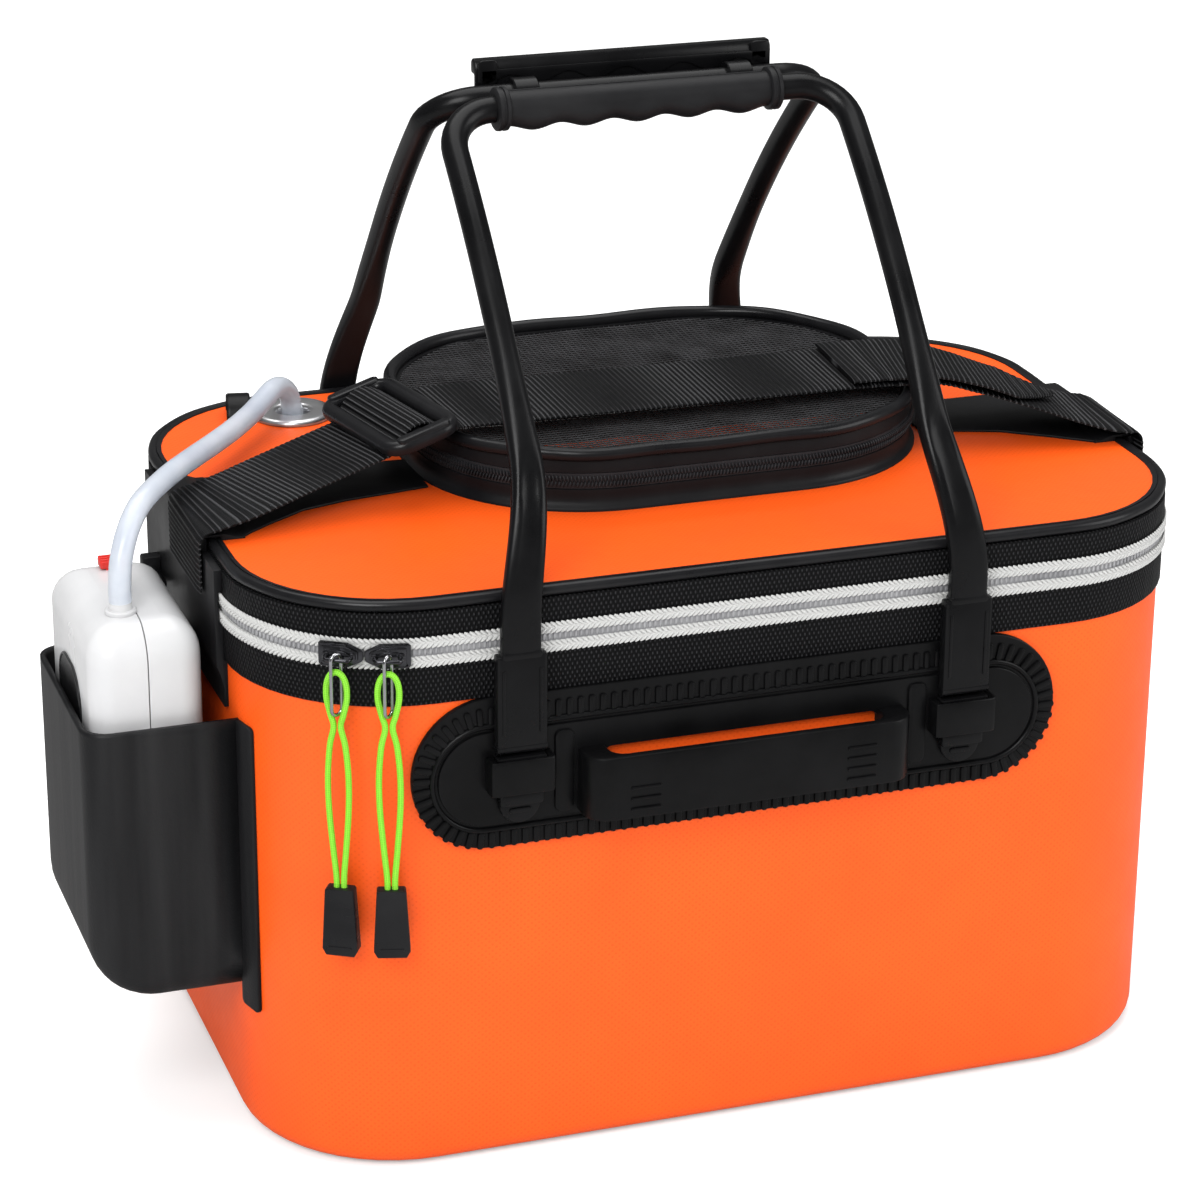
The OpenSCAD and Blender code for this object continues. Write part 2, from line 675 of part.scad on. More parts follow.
// Flap that folds forwards over both tubes; it stands open behind the back tube
module grip_cover() color("black") on_front() {
    face = bar_y + tube_d / 2 + cover_gap;
    translate([-cover_l / 2, face, bar_z - 6]) cube([cover_l, cover_t, cover_h]);
    translate([-cover_l / 2, face, bar_z - 6 + cover_h]) rotate([90, 0, 90]) linear_extrude(cover_l)
        polygon([[0, 0], [0, 2], [1.5, 4], [5, 4], [6, 3], [6, -1.5], [cover_t, -1.5], [cover_t, 0]]);
    // Finger waves under the lip
    translate([0, face, bar_z - 6 + cover_h]) rotate([90, 0, 0]) linear_extrude(0.8)
        polygon(concat([[cover_l / 2 - 2, 0], [2 - cover_l / 2, 0]], [for (i = [0:40])
            [(i / 40 - 0.5) * (cover_l - 4), -3.2 - 1.6 * cos(i * 360 * 5 / 40)]]));
}

// Clips that hold the flap on the back tube and let it turn
module grip_cover_clips() color("black") on_front() for (s = [-1, 1])
    translate([s * cover_l * 0.36, bar_y, bar_z]) rotate([90, 0, 90]) difference() {
        union() {
            cylinder(r = tube_d / 2 + cover_gap, h = clip_w, center = true);
            translate([0, -4, -clip_w / 2]) cube([tube_d / 2 + cover_gap, 8, clip_w]);
        }
        cylinder(r = tube_d / 2 + clear, h = clip_w + 2, center = true);
    }

// ---------------------------------------------------------------- zipper sliders and pulls

// Places children round the front left corner: local -Y points away from the bucket
module at_corner(a) translate([corner_x, corner_y, zip_z]) rotate(-a) children();

module slider(a, nose) at_corner(a) {
    intersection() {
        difference() {
            cylinder(r = corner_r + slider_in + slider_t, h = slider_h, center = true);
            cylinder(r = corner_r + slider_in, h = slider_h + 2, center = true);
        }
        rotate([90, 0, 0]) linear_extrude(corner_r * 2) scale([nose, 1])
            polygon([[-slider_l / 2, -slider_h / 2], [slider_l / 5, -slider_h / 2], [slider_l / 2, -1.6],
                [slider_l / 2, 1.6], [slider_l / 5, slider_h / 2], [-slider_l / 2, slider_h / 2]]);
    }
    translate([0, -corner_r - lug_out, 0]) rotate([0, 90, 0]) cylinder(d = lug_d, h = 9, center = true);
    for (s = [-1, 1])
        translate([s * 4.4 - 0.9, -corner_r - lug_out - lug_d / 2, -lug_d / 2])
            cube([1.8, lug_out - slider_in - slider_t + lug_d / 2 + 0.6, lug_d]);
}

// Wire ring that hangs from the slider's lug
module pull_ring(a) at_corner(a) translate([0, -corner_r - lug_out, 0]) rotate([90, 0, 90]) {
    rotate_extrude(angle = 180) translate([ring_r, 0]) circle(d = ring_d);
    translate([0, -ring_l, 0]) rotate(180) rotate_extrude(angle = 180)
        translate([ring_r, 0]) circle(d = ring_d);
    for (s = [-1, 1]) translate([s * ring_r, -ring_l, 0]) rotate([-90, 0, 0])
        cylinder(d = ring_d, h = ring_l);
}

// Half of the pull's cord, across and up, from the tab to the top of its small loop
pull_half = [[-1.3, -86.5], [-1.4, -82], [-2.6, -71], [-3.9, -57], [-4.2, -44], [-3, -32],
    [-1.3, -24.8], [-2.6, -19.8], [-4.2, -14], [-4, -8.8], [-2.4, -5.4], [0, -4.2]];
pull_points = concat(pull_half, [for (i = [len(pull_half) - 2:-1:0]) [-pull_half[i][0], pull_half[i][1]]]);
module pull_cord(a) at_corner(a) translate([0, -corner_r - lug_out, 0])
    tube(spline([for (p = pull_points) [p[0], 0, p[1]]], 2), cord_d, 8, [0, 1, 0]);

module pull_tab(a) at_corner(a) translate([0, -corner_r - lug_out, -tab_top]) rotate([90, 0, 0]) {
    outline = [[-5, 0], [5, 0], [6.3, 2 - tab_h], [5, -tab_h], [-5, -tab_h], [-6.3, 2 - tab_h]];
    difference() {
        translate([0, 0, -tab_t / 2]) linear_extrude(tab_t) polygon(outline);
        translate([0, 0, tab_t / 2 - 0.6]) linear_extrude(1)
            polygon([[-3, -3], [3, -3], [3.8, 6 - tab_h], [-3.8, 6 - tab_h]]);
    }
}

module left_slider() color("dimgray") slider(left_slider_a, 1);
module left_pull_ring() color("silver") pull_ring(left_slider_a);
module left_pull_cord() color("yellowgreen") pull_cord(left_slider_a);
module left_pull_tab() color("black") pull_tab(left_slider_a);
module right_slider() color("dimgray") slider(right_slider_a, -1);
module right_pull_ring() color("silver") pull_ring(right_slider_a);
module right_pull_cord() color("yellowgreen") pull_cord(right_slider_a);
module right_pull_tab() color("black") pull_tab(right_slider_a);

// ---------------------------------------------------------------- shoulder strap

// Sets children at both ends of the bucket: local X points away from it, from the wall's face
module both_ends() for (s = [0, 1]) mirror([s, 0, 0]) translate([bucket_l / 2, 0, 0]) children();

// Extrudes an end-on outline, x outwards and y upwards, along the bucket's width
module across(y0, y1) translate([0, y1, 0]) rotate([90, 0, 0]) linear_extrude(y1 - y0) children();

// Smooth sheet welded over the band at each end
module end_patches() color("black") {
    low = zip_z - row_step - zip_row_d / 2;
    high = zip_z + row_step + zip_row_d / 2;
    top = piping_z - piping_d / 2 + 0.3;
    flat = bucket_w / 2 - corner_r;
    both_ends() across(-flat, flat) polygon([[0, pocket_top + clear], [0, band_z], [tape_t, band_z],
        [tape_t, low], [patch_out, low], [patch_out, high], [tape_t, high], [tape_t, top],
        [patch_face, top], [patch_face, band_z - 2], [patch_t, band_z - 10],
        [patch_t, pocket_top + clear]]);
}

// Sheet under each end of the strap, from the band over the piping to the hatch
module strap_beds() color("black") {
    top = piping_z + piping_d / 2;
    foot = piping_z - piping_d / 2 + 0.3;
    for (s = [-1, 1]) mirror([s > 0 ? 0 : 1, 0, 0]) translate([bucket_l / 2, 0, 0])
        across(strap_y - 32, strap_y + 32) polygon([[piping_face + 0.1, foot], [piping_face + 0.1, top + 0.1],
            [piping_out - piping_d / 2 - 0.1, top + 0.1], [piping_out - piping_d / 2 - 0.1, bucket_h],
            [hatch_l / 2 + s * hatch_x + flange_w + 1 - bucket_l / 2, bucket_h],
            [hatch_l / 2 + s * hatch_x + flange_w + 1 - bucket_l / 2, bucket_h + bed_t],
            [-9, bucket_h + bed_t], [-4.5, top + 1.2], [1.5, top + 1.2], [patch_face, top - 1],
            [patch_face, foot]]);
}

edge_x = bucket_l / 2 + patch_face + webbing_t / 2 + 0.3;
edge_z = piping_z + piping_d / 2 + 1.2 + webbing_t / 2 + 0.9;
over_z = hatch_top + hatch_rim_d / 2 + webbing_t / 2 + 0.4;
rim_left = hatch_x - hatch_l / 2;
rim_right = hatch_x + hatch_l / 2;
right_way = edge_x - 5 - rim_right;
buckle_a = 20;        // slope of the webbing where it carries the buckle
buckle_x = rim_left - 17;
buckle_z = over_z - 19 * tan(buckle_a) + webbing_t;
buckle_y = 2;
buckle_l = 46;
buckle_w = 62;
buckle_t = 5;
under = webbing_t / 2 + 0.15;

// Webbing from the left end, under the buckle and over the hatch, to the right end
module strap_webbing() color("black") ribbon([
    [-edge_x, -16, bucket_h - 17], [-edge_x, -16, bucket_h - 6], [-edge_x, -15.7, bucket_h + 0.5],
    [1 - edge_x, -15.3, edge_z - 1.2], [5 - edge_x, -14.4, edge_z], [18 - bucket_l / 2, -11, edge_z + 0.5],
    [buckle_x - 34, -4, buckle_z - 31 * tan(buckle_a)],
    for (u = [-27, -8, 8, 27]) [buckle_x + u * cos(buckle_a) + under * sin(buckle_a), buckle_y,
        buckle_z + u * sin(buckle_a) - under * cos(buckle_a)],
    [rim_left + 16, 3.4, over_z + 1.4], [rim_left + 40, 5, over_z + 1.2], [hatch_x, 6, over_z + 0.8],
    [rim_right - 40, 5, over_z + 0.9], [rim_right - 14, 3, over_z + 1], [rim_right + 0.04 * right_way, 0, over_z + 0.3],
    [rim_right + 0.25 * right_way, -3, over_z - 3.5], [rim_right + 0.5 * right_way, -7, over_z - 10],
    [rim_right + 0.75 * right_way, -12.5, edge_z + 5], [rim_right + 0.92 * right_way, -16.2, edge_z + 1.6], [edge_x - 5, -17, edge_z], [edge_x - 1, -17.2, edge_z - 1.2],
    [edge_x, -17.3, bucket_h + 0.5], [edge_x, -17.4, bucket_h - 6], [edge_x, -17.4, bucket_h - 17]],
    webbing_w, webbing_t);

// Folded end of the webbing, lying on it at the right, cut to a point
module strap_tail() color("black") ribbon([
    [rim_right - 30, 4.4, over_z + 3.2], [rim_right - 14, 3, over_z + 3.3], [rim_right + 0.04 * right_way, 0, over_z + 2.7],
    [rim_right + 0.25 * right_way, -3, over_z - 0.8], [rim_right + 0.47 * right_way, -6.5, over_z - 6.6, 1],
    [rim_right + 0.61 * right_way, -8.8, over_z - 9.6, 0.6],
    [rim_right + 0.72 * right_way, -10.6, over_z - 11.6, 0.08]],
    webbing_w, webbing_t);

module at_buckle() translate([buckle_x, buckle_y, buckle_z]) rotate([0, -buckle_a, 0]) children();

module strap_buckle() color("black") at_buckle() {
    linear_extrude(buckle_t) difference() {
        rounded_plan(buckle_l, buckle_w, 9);
        for (s = [-1, 1]) translate([s * (buckle_l / 4 - 1), 0])
            rounded_plan(buckle_l / 2 - 10, webbing_w + 2, 3);
    }
    for (s = [-1, 1]) translate([0, s * (buckle_w / 2 - 3.2), buckle_t])
        linear_extrude(1.4) rounded_plan(buckle_l - 12, 4, 1.9);
}

// Webbing folded over the buckle's middle bar
module strap_fold() color("black") at_buckle() across(3 - webbing_w / 2, webbing_w / 2 - 3)
    polygon([[-16.3, 0.2], [-16.3, 1.8], [-6, 6.9], [6, 6.9], [16.3, 1.8], [16.3, 0.2],
        [12.8, 0.2], [4.6, buckle_t + 0.1], [-4.6, buckle_t + 0.1], [-12.8, 0.2]]);

pin_d = 4.6;
pin_y = 18;
pin_len = 21;
pin_z = band_z + 2;
loop_wall = 0.9;
pin_x = patch_face + loop_wall + pin_d / 2;
module strap_pins() color("silver") both_ends()
    translate([pin_x, pin_y, pin_z]) rotate([-90, 0, 0]) cylinder(d = pin_d, h = pin_len);

// Small loop that holds each pin on its patch
module pin_loops() color("black") both_ends() difference() {
    translate([patch_face, pin_y + pin_len - 7, pin_z - pin_d / 2 - 2])
        cube([pin_d + 2 * loop_wall, 6, pin_d + 4]);
    translate([pin_x, pin_y - 1, pin_z]) rotate([-90, 0, 0])
        cylinder(d = pin_d, h = pin_len + 2);
}

// ---------------------------------------------------------------- pocket and pump

// The pocket's space: a round lower edge seen from the front, round corners seen from above
module pocket_space(inset, top) intersection() {
    x0 = pocket_x0 + inset;
    x1 = corner_x;
    y0 = pocket_y0 + inset;
    y1 = pocket_y1 - inset;
    z0 = pocket_z0 + inset;
    r = pocket_round - inset;
    plan_r = 10 - inset;
    translate([0, 0, z0]) linear_extrude(top - z0) union() {
        translate([x0 + plan_r, y0]) square([x1 - x0 - plan_r, y1 - y0]);
        translate([x0, y0 + plan_r]) square([x1 - x0, y1 - y0 - 2 * plan_r]);
        for (y = [y0 + plan_r, y1 - plan_r]) translate([x0 + plan_r, y]) circle(plan_r);
    }
    across(y0, y1) union() {
        translate([x0 + r, z0]) square([x1 - x0 - r, top - z0]);
        translate([x0, z0 + r]) square([x1 - x0, top - z0 - r]);
        translate([x0 + r, z0 + r]) circle(r);
    }
}

module pocket() color("black") {
    difference() {
        pocket_space(0, pocket_top);
        pocket_space(pocket_t, pocket_top + 1);
        linear_extrude(bucket_h) bucket_plan(0);
    }
    // Welded flanges: one round the corner in front, one on the flat behind
    intersection() {
        bucket_ring(0, patch_t, pocket_z0 - 5, pocket_top);
        translate([-bucket_l, pocket_y0 - 9, 0]) cube([bucket_l - 100, 9 + pocket_t, bucket_h]);
    }
    translate([-bucket_l / 2 - patch_t, pocket_y1 - pocket_t, pocket_z0 - 5])
        cube([patch_t, 9 + pocket_t, pocket_top - pocket_z0 + 5]);
}

module case_block(inset) translate([pump_x, pump_y, pump_z0 + pump_h / 2])
    soft_block([pump_d - 2 * inset, pump_w - 2 * inset, pump_h - 2 * inset], [9, 12, 14] - inset * [1, 1, 1]);

door_h = 64;
battery_lift = 9;
shelf_z = pump_z0 + battery_lift + battery_l + case_t + 3;
switch_y = pump_y0 + pump_w - 13;

module case_shell() difference() {
    case_block(0);
    case_block(case_t);
    translate([pump_x - 1.5 - clear, switch_y - 4.5, pump_top - case_t - 4])
        cube([3 + 2 * clear, 11, case_t + 5]);
}

// The part of the case between two x and above or below the battery door's seam
module case_part(x0, x1, z0, z1) intersection() {
    case_shell();
    translate([x0, pump_y0 - 1, z0]) cube([x1 - x0, pump_w + 2, z1 - z0]);
}

module pump_outer_case() color("white")
    case_part(pump_x0 - 1, pump_x, pump_z0 + door_h, pump_top + 1);

module battery_door() color("white")
    case_part(pump_x0 - 1, pump_x, pump_z0 - 1, pump_z0 + door_h);

// Inner half, with the batteries' rest and the pump's shelf
module pump_inner_case() color("white") {
    case_part(pump_x, pump_x1 + 1, pump_z0 - 1, pump_top + 1);
    translate([pump_x, pump_y - 20, pump_z0 + case_t]) cube([pump_d / 2 - case_t - 0.5, 40, battery_lift - case_t]);
    translate([pump_x - 6, pump_y - pump_w / 2 + case_t, shelf_z])
        cube([pump_d / 2 + 6 - case_t, pump_w - 2 * case_t, 2]);
}

// Bare plates where the case carries its labels
module pump_badge() color("black") {
    translate([pump_x0, pump_y, pump_top - 36]) rotate([90, 0, -90]) linear_extrude(0.7)
        rounded_plan(36, 26, 12.9);
    translate([pump_x0, pump_y, pump_z0 + 38]) rotate([90, 0, -90]) linear_extrude(0.7)
        rounded_plan(46, 40, 3);
}

module pump_outlet() color("white") translate([outlet_x, outlet_y, pump_top]) {
    cylinder(d = hose_d + 3, h = 1.5);
    cylinder(d = hose_d, h = outlet_h);
}

module pump_switch() color("firebrick") translate([pump_x, switch_y, pump_top]) {
    translate([-3.5, -3.5, clear]) cube([7, 6, 3]);
    for (y = [-2.5, -0.5, 1.5]) translate([-3.5, y - 0.4, clear + 3]) cube([7, 0.8, 0.7]);
    translate([-1.5, -3.5, -case_t - 1.5]) cube([3, 6, case_t + 2]);
}

module pump_ring() color("white") translate([pump_x, pump_y + 2, pump_top]) rotate([90, 0, 90])
    rotate_extrude(angle = 180) translate([6, 0]) circle(d = 2.6);

// Latch on the seam in front, and two hinge knuckles behind
module pump_latches() color("white") {
    translate([pump_x - 4, pump_y0 - 1.8, pump_z0 + 62]) cube([8, 1.8, 34]);
    for (z = [22, 92]) translate([pump_x, pump_y0 + pump_w, pump_z0 + z]) {
        translate([-2, 0, 0]) cube([4, 1.6, 16]);
        translate([0, 1.6, 0]) cylinder(d = 3, h = 16);
    }
}

// Two cells side by side, with their end caps
module batteries() color("gold") for (s = [-1, 1])
    translate([pump_x, pump_y + s * (battery_d / 2 + 0.5), pump_z0 + battery_lift]) {
        cylinder(d = battery_d, h = battery_l);
        translate([0, 0, battery_l]) cylinder(d = 9, h = 1.5);
    }

// Motor, its crank and the rubber bellows that it works, on their shelf
module pump_motor() color("silver") translate([pump_x, pump_y, shelf_z + 2]) {
    translate([0, 16, 0]) cylinder(d = 24, h = 30);
    translate([0, 16, 30]) cylinder(d = 3, h = 8);
    translate([0, 16, 33]) cylinder(d = 12, h = 3);
    translate([0, -14, 0]) cylinder(d = 28, h = 16);
    translate([0, -14, 16]) cylinder(d = 20, h = 8);
    translate([-4, -14, 36]) cube([8, 30, 2]);
    translate([0, -14, 24]) cylinder(d = 5, h = 13);
}

// ---------------------------------------------------------------- grommet, hose and air stone

module at_grommet() translate([grommet_x, grommet_y, bucket_h]) children();

module grommet() color("silver") at_grommet() rotate_extrude() {
    translate([grommet_hole_d / 2, -lid_t]) square([barrel_t, lid_t + grommet_t / 2]);
    translate([(grommet_hole_d + grommet_t) / 2, 0])
        square([(grommet_d - grommet_hole_d) / 2 - grommet_t, grommet_t]);
    for (r = [(grommet_hole_d + grommet_t) / 2, (grommet_d - grommet_t) / 2])
        translate([r, grommet_t / 2]) circle(d = grommet_t);
}

module grommet_washer() color("silver") at_grommet() translate([0, 0, -lid_t - 1.2]) difference() {
    cylinder(d = grommet_d - 5, h = 1.2);
    translate([0, 0, -1]) cylinder(d = grommet_hole_d, h = 4);
}

// Rubber tongue that closes the grommet, curled up beside it
module grommet_cap() color("black") at_grommet() rotate(78) translate([0, grommet_d / 2 + 0.6, 0]) {
    across(0, 9) difference() {
        intersection() {
            circle(r = 9);
            translate([-10, 0]) square([20, 10]);
        }
        circle(r = 7.4);
    }
    translate([7.4, 0, 0]) cube([6, 9, 1.6]);
}

module hose() color("whitesmoke") tube(spline(hose_route, 2), hose_d, 10, [1, 0, 0]);

module air_stone() color("slategray") translate(hose_route[len(hose_route) - 1]) rotate([0, 90, 0])
    rotate_extrude() polygon([[0, 0], [3, 0], [3, 4], [6, 4.5], [8, 7], [8, 36], [6.5, 38.5], [0, 39]]);

floor_tray();
bucket_wall();
lower_zip_tape();
lower_zip_row();
zip_teeth();
upper_zip_row();
upper_zip_tape();
lid_panel();
lid_piping();
hatch_collar();
hatch_zip_coil();
hatch_piping();
hatch_net();
hatch_slider();
front_plate();
front_plate_rim();
front_handle_feet();
back_plate();
back_plate_rim();
back_handle_feet();
front_handle_straps();
front_handle_loop();
back_handle_straps();
back_handle_loop();
grip_sleeve();
grip_collars();
grip_cover();
grip_cover_clips();
left_slider();
left_pull_ring();
left_pull_cord();
left_pull_tab();
right_slider();
right_pull_ring();
right_pull_cord();
right_pull_tab();
end_patches();
strap_beds();
strap_webbing();
strap_tail();
strap_buckle();
strap_fold();
strap_pins();
pin_loops();
pocket();
pump_outer_case();
pump_inner_case();
battery_door();
pump_badge();
pump_outlet();
pump_switch();
pump_ring();
pump_latches();
batteries();
pump_motor();
grommet();
grommet_washer();
grommet_cap();
hose();
air_stone();
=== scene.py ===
# Aerated bait bucket: an orange sheet bucket with a zipped lid, a net hatch, two carrying handles, a
# shoulder strap, and a side pocket with a battery air pump, its hose and its air stone.
# Each section makes one piece, in the order of assembly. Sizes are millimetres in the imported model's
# frame, and a piece's mesh is brought to metres when it is finished.
from math import atan2, copysign, cos, degrees, hypot, pi, radians, sin, sqrt, tan

import bmesh
import bpy
from mathutils import Matrix, Vector, geometry, noise


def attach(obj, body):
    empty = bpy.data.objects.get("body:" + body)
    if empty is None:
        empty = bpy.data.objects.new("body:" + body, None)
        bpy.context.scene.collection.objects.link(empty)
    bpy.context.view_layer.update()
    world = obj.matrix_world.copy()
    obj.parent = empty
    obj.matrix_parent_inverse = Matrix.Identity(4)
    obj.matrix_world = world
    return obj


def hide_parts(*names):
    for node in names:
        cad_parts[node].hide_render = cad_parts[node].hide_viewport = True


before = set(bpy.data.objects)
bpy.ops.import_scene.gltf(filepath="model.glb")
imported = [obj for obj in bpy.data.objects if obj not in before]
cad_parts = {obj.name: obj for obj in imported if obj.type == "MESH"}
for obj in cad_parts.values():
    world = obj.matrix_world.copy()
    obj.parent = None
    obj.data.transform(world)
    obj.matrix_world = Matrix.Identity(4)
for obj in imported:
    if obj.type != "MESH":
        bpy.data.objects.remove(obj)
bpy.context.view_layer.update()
mm = 0.001

# ---------------------------------------------------------------- camera
# It stands 1.4 m off, a little to the left of the front face and above the lid, with a long lens.
TARGET = Vector((-0.0200, 0.0, 0.1608))
TURN, RISE, ROLL = (radians(a) for a in (-19.04, 21.68, 0.4))
camera = bpy.data.objects.new("camera", bpy.data.cameras.new("camera"))
bpy.context.scene.collection.objects.link(camera)
bpy.context.scene.camera = camera
bpy.context.scene.view_settings.view_transform = "Standard"
camera.data.sensor_width = 36
camera.data.lens = 112.55
backwards = Vector((sin(TURN) * cos(RISE), -cos(TURN) * cos(RISE), sin(RISE)))
camera.location = TARGET + backwards * 1.4
camera.rotation_euler = (backwards.to_track_quat("Z", "Y").to_matrix()
    @ Matrix.Rotation(ROLL, 3, "Z")).to_euler()

# ---------------------------------------------------------------- hose
# Soft milky silicone tube, 8 mm across. It is pushed over the pump's outlet, arches over the lid, goes
# down through the grommet and lies on the floor as far as the air stone.
HOSE_ROUTE = [(-209, -41, 199), (-209, -41, 201.5), (-209, -41, 204), (-207.9, -39.5, 213),
    (-204.6, -35.1, 221), (-199.7, -28.4, 226.5), (-193.8, -20.4, 229), (-182.6, -5.1, 230),
    (-170.9, 10.7, 229.5), (-159, 26.9, 228.5), (-147.6, 42.3, 228), (-137.6, 56, 228.5),
    (-130.6, 65.4, 230), (-125.4, 72.5, 231), (-120.7, 79, 229.6), (-116.7, 84.4, 225.4),
    (-114.6, 87.2, 219), (-114, 88, 212), (-114, 88, 188), (-114, 88, 140), (-114, 88, 92), (-114, 88, 68),
    (-113, 88, 46), (-109, 88, 33), (-101.5, 88, 22), (-91, 88, 14.5), (-80, 88, 11.6), (-68, 88, 11)]


def curve_through(points, steps):
    """Points of a smooth curve through the given ones."""
    p = [Vector(point) for point in points]
    found = []
    for i in range(len(p) - 1):
        a, b, c, d = p[max(i - 1, 0)], p[i], p[i + 1], p[min(i + 2, len(p) - 1)]
        for k in range(steps):
            t = k / steps
            found.append((2 * b + (c - a) * t + (2 * a - 5 * b + 4 * c - d) * t ** 2
                + (3 * b - a - 3 * c + d) * t ** 3) / 2)
    return found + [p[-1]]


def distances(points, closed=False):
    """How far along a line each of its points lies; a closed line ends with its whole length."""
    run = [0.0]
    for a, b in zip(points, points[1:] + (points[:1] if closed else [])):
        run.append(run[-1] + (Vector(b) - Vector(a)).length)
    return run


def around(sides):
    """Angles at an even step round a circle."""
    return [2 * pi * k / sides for k in range(sides)]


class Form:
    """Points, faces and cloth coordinates of one piece, in millimetres, gathered shape by shape."""

    def __init__(self):
        self.points, self.faces, self.marks = [], [], []

    def grid(self, rows, ring=False, loop=False, ends=False):
        """Surface through rows of points. ring closes each row, loop joins the last row to the first,
        and ends caps the open ends. The cloth coordinates are the distances along and across."""
        rows = [[Vector(p) for p in row] for row in rows]
        first, n, m = len(self.points), len(rows), len(rows[0])
        u, v = distances([row[0] for row in rows], loop), distances(rows[n // 2], ring)
        self.points += [p for row in rows for p in row]
        for i in range(n if loop else n - 1):
            here, ahead = first + i * m, first + (i + 1) % n * m
            for k in range(m if ring else m - 1):
                side = (k + 1) % m
                self.faces.append((here + k, ahead + k, ahead + side, here + side))
                self.marks += [(u[i], v[k]), (u[i + 1], v[k]), (u[i + 1], v[k + 1]), (u[i], v[k + 1])]
        if ends:
            for i, turn in ((0, 1), (n - 1, -1)):
                self.faces.append([first + i * m + k for k in range(m)][::turn])
                self.marks += [tuple(rows[i][k][:2]) for k in range(m)][::turn]
        return self

    def wrap(self, line, profile, **how):
        """Profile, as (outwards, up) pairs, carried round a course."""
        return self.grid([[p + out * o + Vector((0, 0, z)) for p, out in line] for o, z in profile],
            ring=True, **how)

    def solid(self, outline, z0, z1, soft=0.5, below=True):
        """Flat shape between two heights with softened edges."""
        s = min(soft, (z1 - z0) / 2.01)
        foot = [(-s, z0), (-0.3 * s, z0 + 0.3 * s), (0, z0 + s)] if below else [(0, z0)]
        return self.wrap(mitred(outline), foot + [(0, z1 - s), (-0.3 * s, z1 - 0.3 * s), (-s, z1)],
            ends=True)

    def sheet(self, loops, z):
        """Flat face within the first loop and outside the others."""
        loops = [[Vector((p[0], p[1], z)) for p in loop] for loop in loops]
        first = len(self.points)
        self.points += [p for loop in loops for p in loop]
        for face in geometry.tessellate_polygon(loops):
            self.faces.append([first + k for k in face])
            self.marks += [tuple(self.points[first + k][:2]) for k in face]
        return self

    def tube(self, path, radius, sides=12, start=(0, 0, 1), loop=False):
        """Round tube along a path."""
        path = [Vector(p) for p in path]
        n, up, rows = len(path), Vector(start), []
        for i, p in enumerate(path):
            ahead = path[(i + 1) % n] if loop or i < n - 1 else p
            behind = path[i - 1] if loop or i else p
            along = (ahead - behind).normalized()
            up = (up - along * up.dot(along)).normalized()
            side = along.cross(up)
            rows.append([p + radius * (up * cos(a) + side * sin(a)) for a in around(sides)])
        return self.grid(rows, ring=True, loop=loop, ends=not loop)

    def spun(self, profile, sides=32, hole=False):
        """Profile, as (radius, height) pairs, turned about Z; hole joins its last point to its first."""
        rows = [[(r * cos(a), r * sin(a), z) for a in around(sides)] for r, z in profile]
        return self.grid(rows, ring=True, loop=hole, ends=not hole)

    def bead(self, size, sides=8, rings=5):
        """Ellipsoid of the given half-sizes."""
        rows = [[(size[0] * sin(a) * cos(b), size[1] * sin(a) * sin(b), size[2] * cos(a))
            for b in around(sides)] for a in (pi * (i + 0.35) / (rings - 0.3) for i in range(rings))]
        return self.grid(rows, ring=True, ends=True)

    def add(self, other, place=Matrix.Identity(4)):
        """Another form's copy, put in place."""
        first = len(self.points)
        self.points += [place @ p for p in other.points]
        self.faces += [[first + k for k in face] for face in other.faces]
        self.marks += other.marks
        return self

    def piece(self, name, finish, slot, replaces=(), body="bucket", sharp=40):
        """The finished piece, riding on its body."""
        mesh = bpy.data.meshes.new(name)
        mesh.from_pydata([p * mm for p in self.points], [], self.faces)
        layer = mesh.uv_layers.new(name="cloth")
        layer.uv.foreach_set("vector", [x for mark in self.marks for x in mark])
        made = bmesh.new()
        made.from_mesh(mesh)
        bmesh.ops.recalc_face_normals(made, faces=made.faces)
        made.to_mesh(mesh)
        made.free()
        mesh.materials.append(finish)
        mesh.shade_smooth()
        mesh.set_sharp_from_angle(angle=radians(sharp))
        obj = bpy.data.objects.new(name, mesh)
        bpy.context.scene.collection.objects.link(obj)
        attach(obj, body)
        if replaces:
            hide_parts(*replaces)
        return obj


def put(tree, kind, settings=None, **inputs):
    """A new shader node. An input is a value or another node's socket; n0 is the first."""
    node = tree.nodes.new("ShaderNode" + kind)
    for key, value in (settings or {}).items():
        setattr(node, key, value)
    for key, value in inputs.items():
        numbered = key[0] == "n" and key[1:].isdigit()
        socket = node.inputs[int(key[1:]) if numbered else key.replace("_", " ")]
        if isinstance(value, bpy.types.NodeSocket):
            tree.links.new(value, socket)
        else:
            socket.default_value = value
    return node


def sum_of(tree, operation, a, b=0.0, c=0.0):
    """Result of one arithmetic node."""
    return put(tree, "Math", {"operation": operation}, n0=a, n1=b, n2=c).outputs[0]


def mixed(tree, share, a, b):
    """Colour between a and b."""
    node = put(tree, "Mix", {"data_type": "RGBA"}, n0=share)
    for index, value in ((6, a), (7, b)):
        if isinstance(value, bpy.types.NodeSocket):
            tree.links.new(value, node.inputs[index])
        else:
            node.inputs[index].default_value = (*value, 1)
    return node.outputs[2]


def effect(name, inputs, outputs):
    """An empty node group for an effect that several materials use."""
    group = bpy.data.node_groups.new(name, "ShaderNodeTree")
    for key, value in inputs:
        group.interface.new_socket(key, in_out="INPUT", socket_type="NodeSocketFloat").default_value = value
    for key in outputs:
        group.interface.new_socket(key, in_out="OUTPUT", socket_type="NodeSocketFloat")
    return group, group.nodes.new("NodeGroupInput").outputs, group.nodes.new("NodeGroupOutput").inputs


def use(tree, group, **inputs):
    """Outputs of an effect placed in a material."""
    return put(tree, "Group", {"node_tree": group}, **inputs).outputs


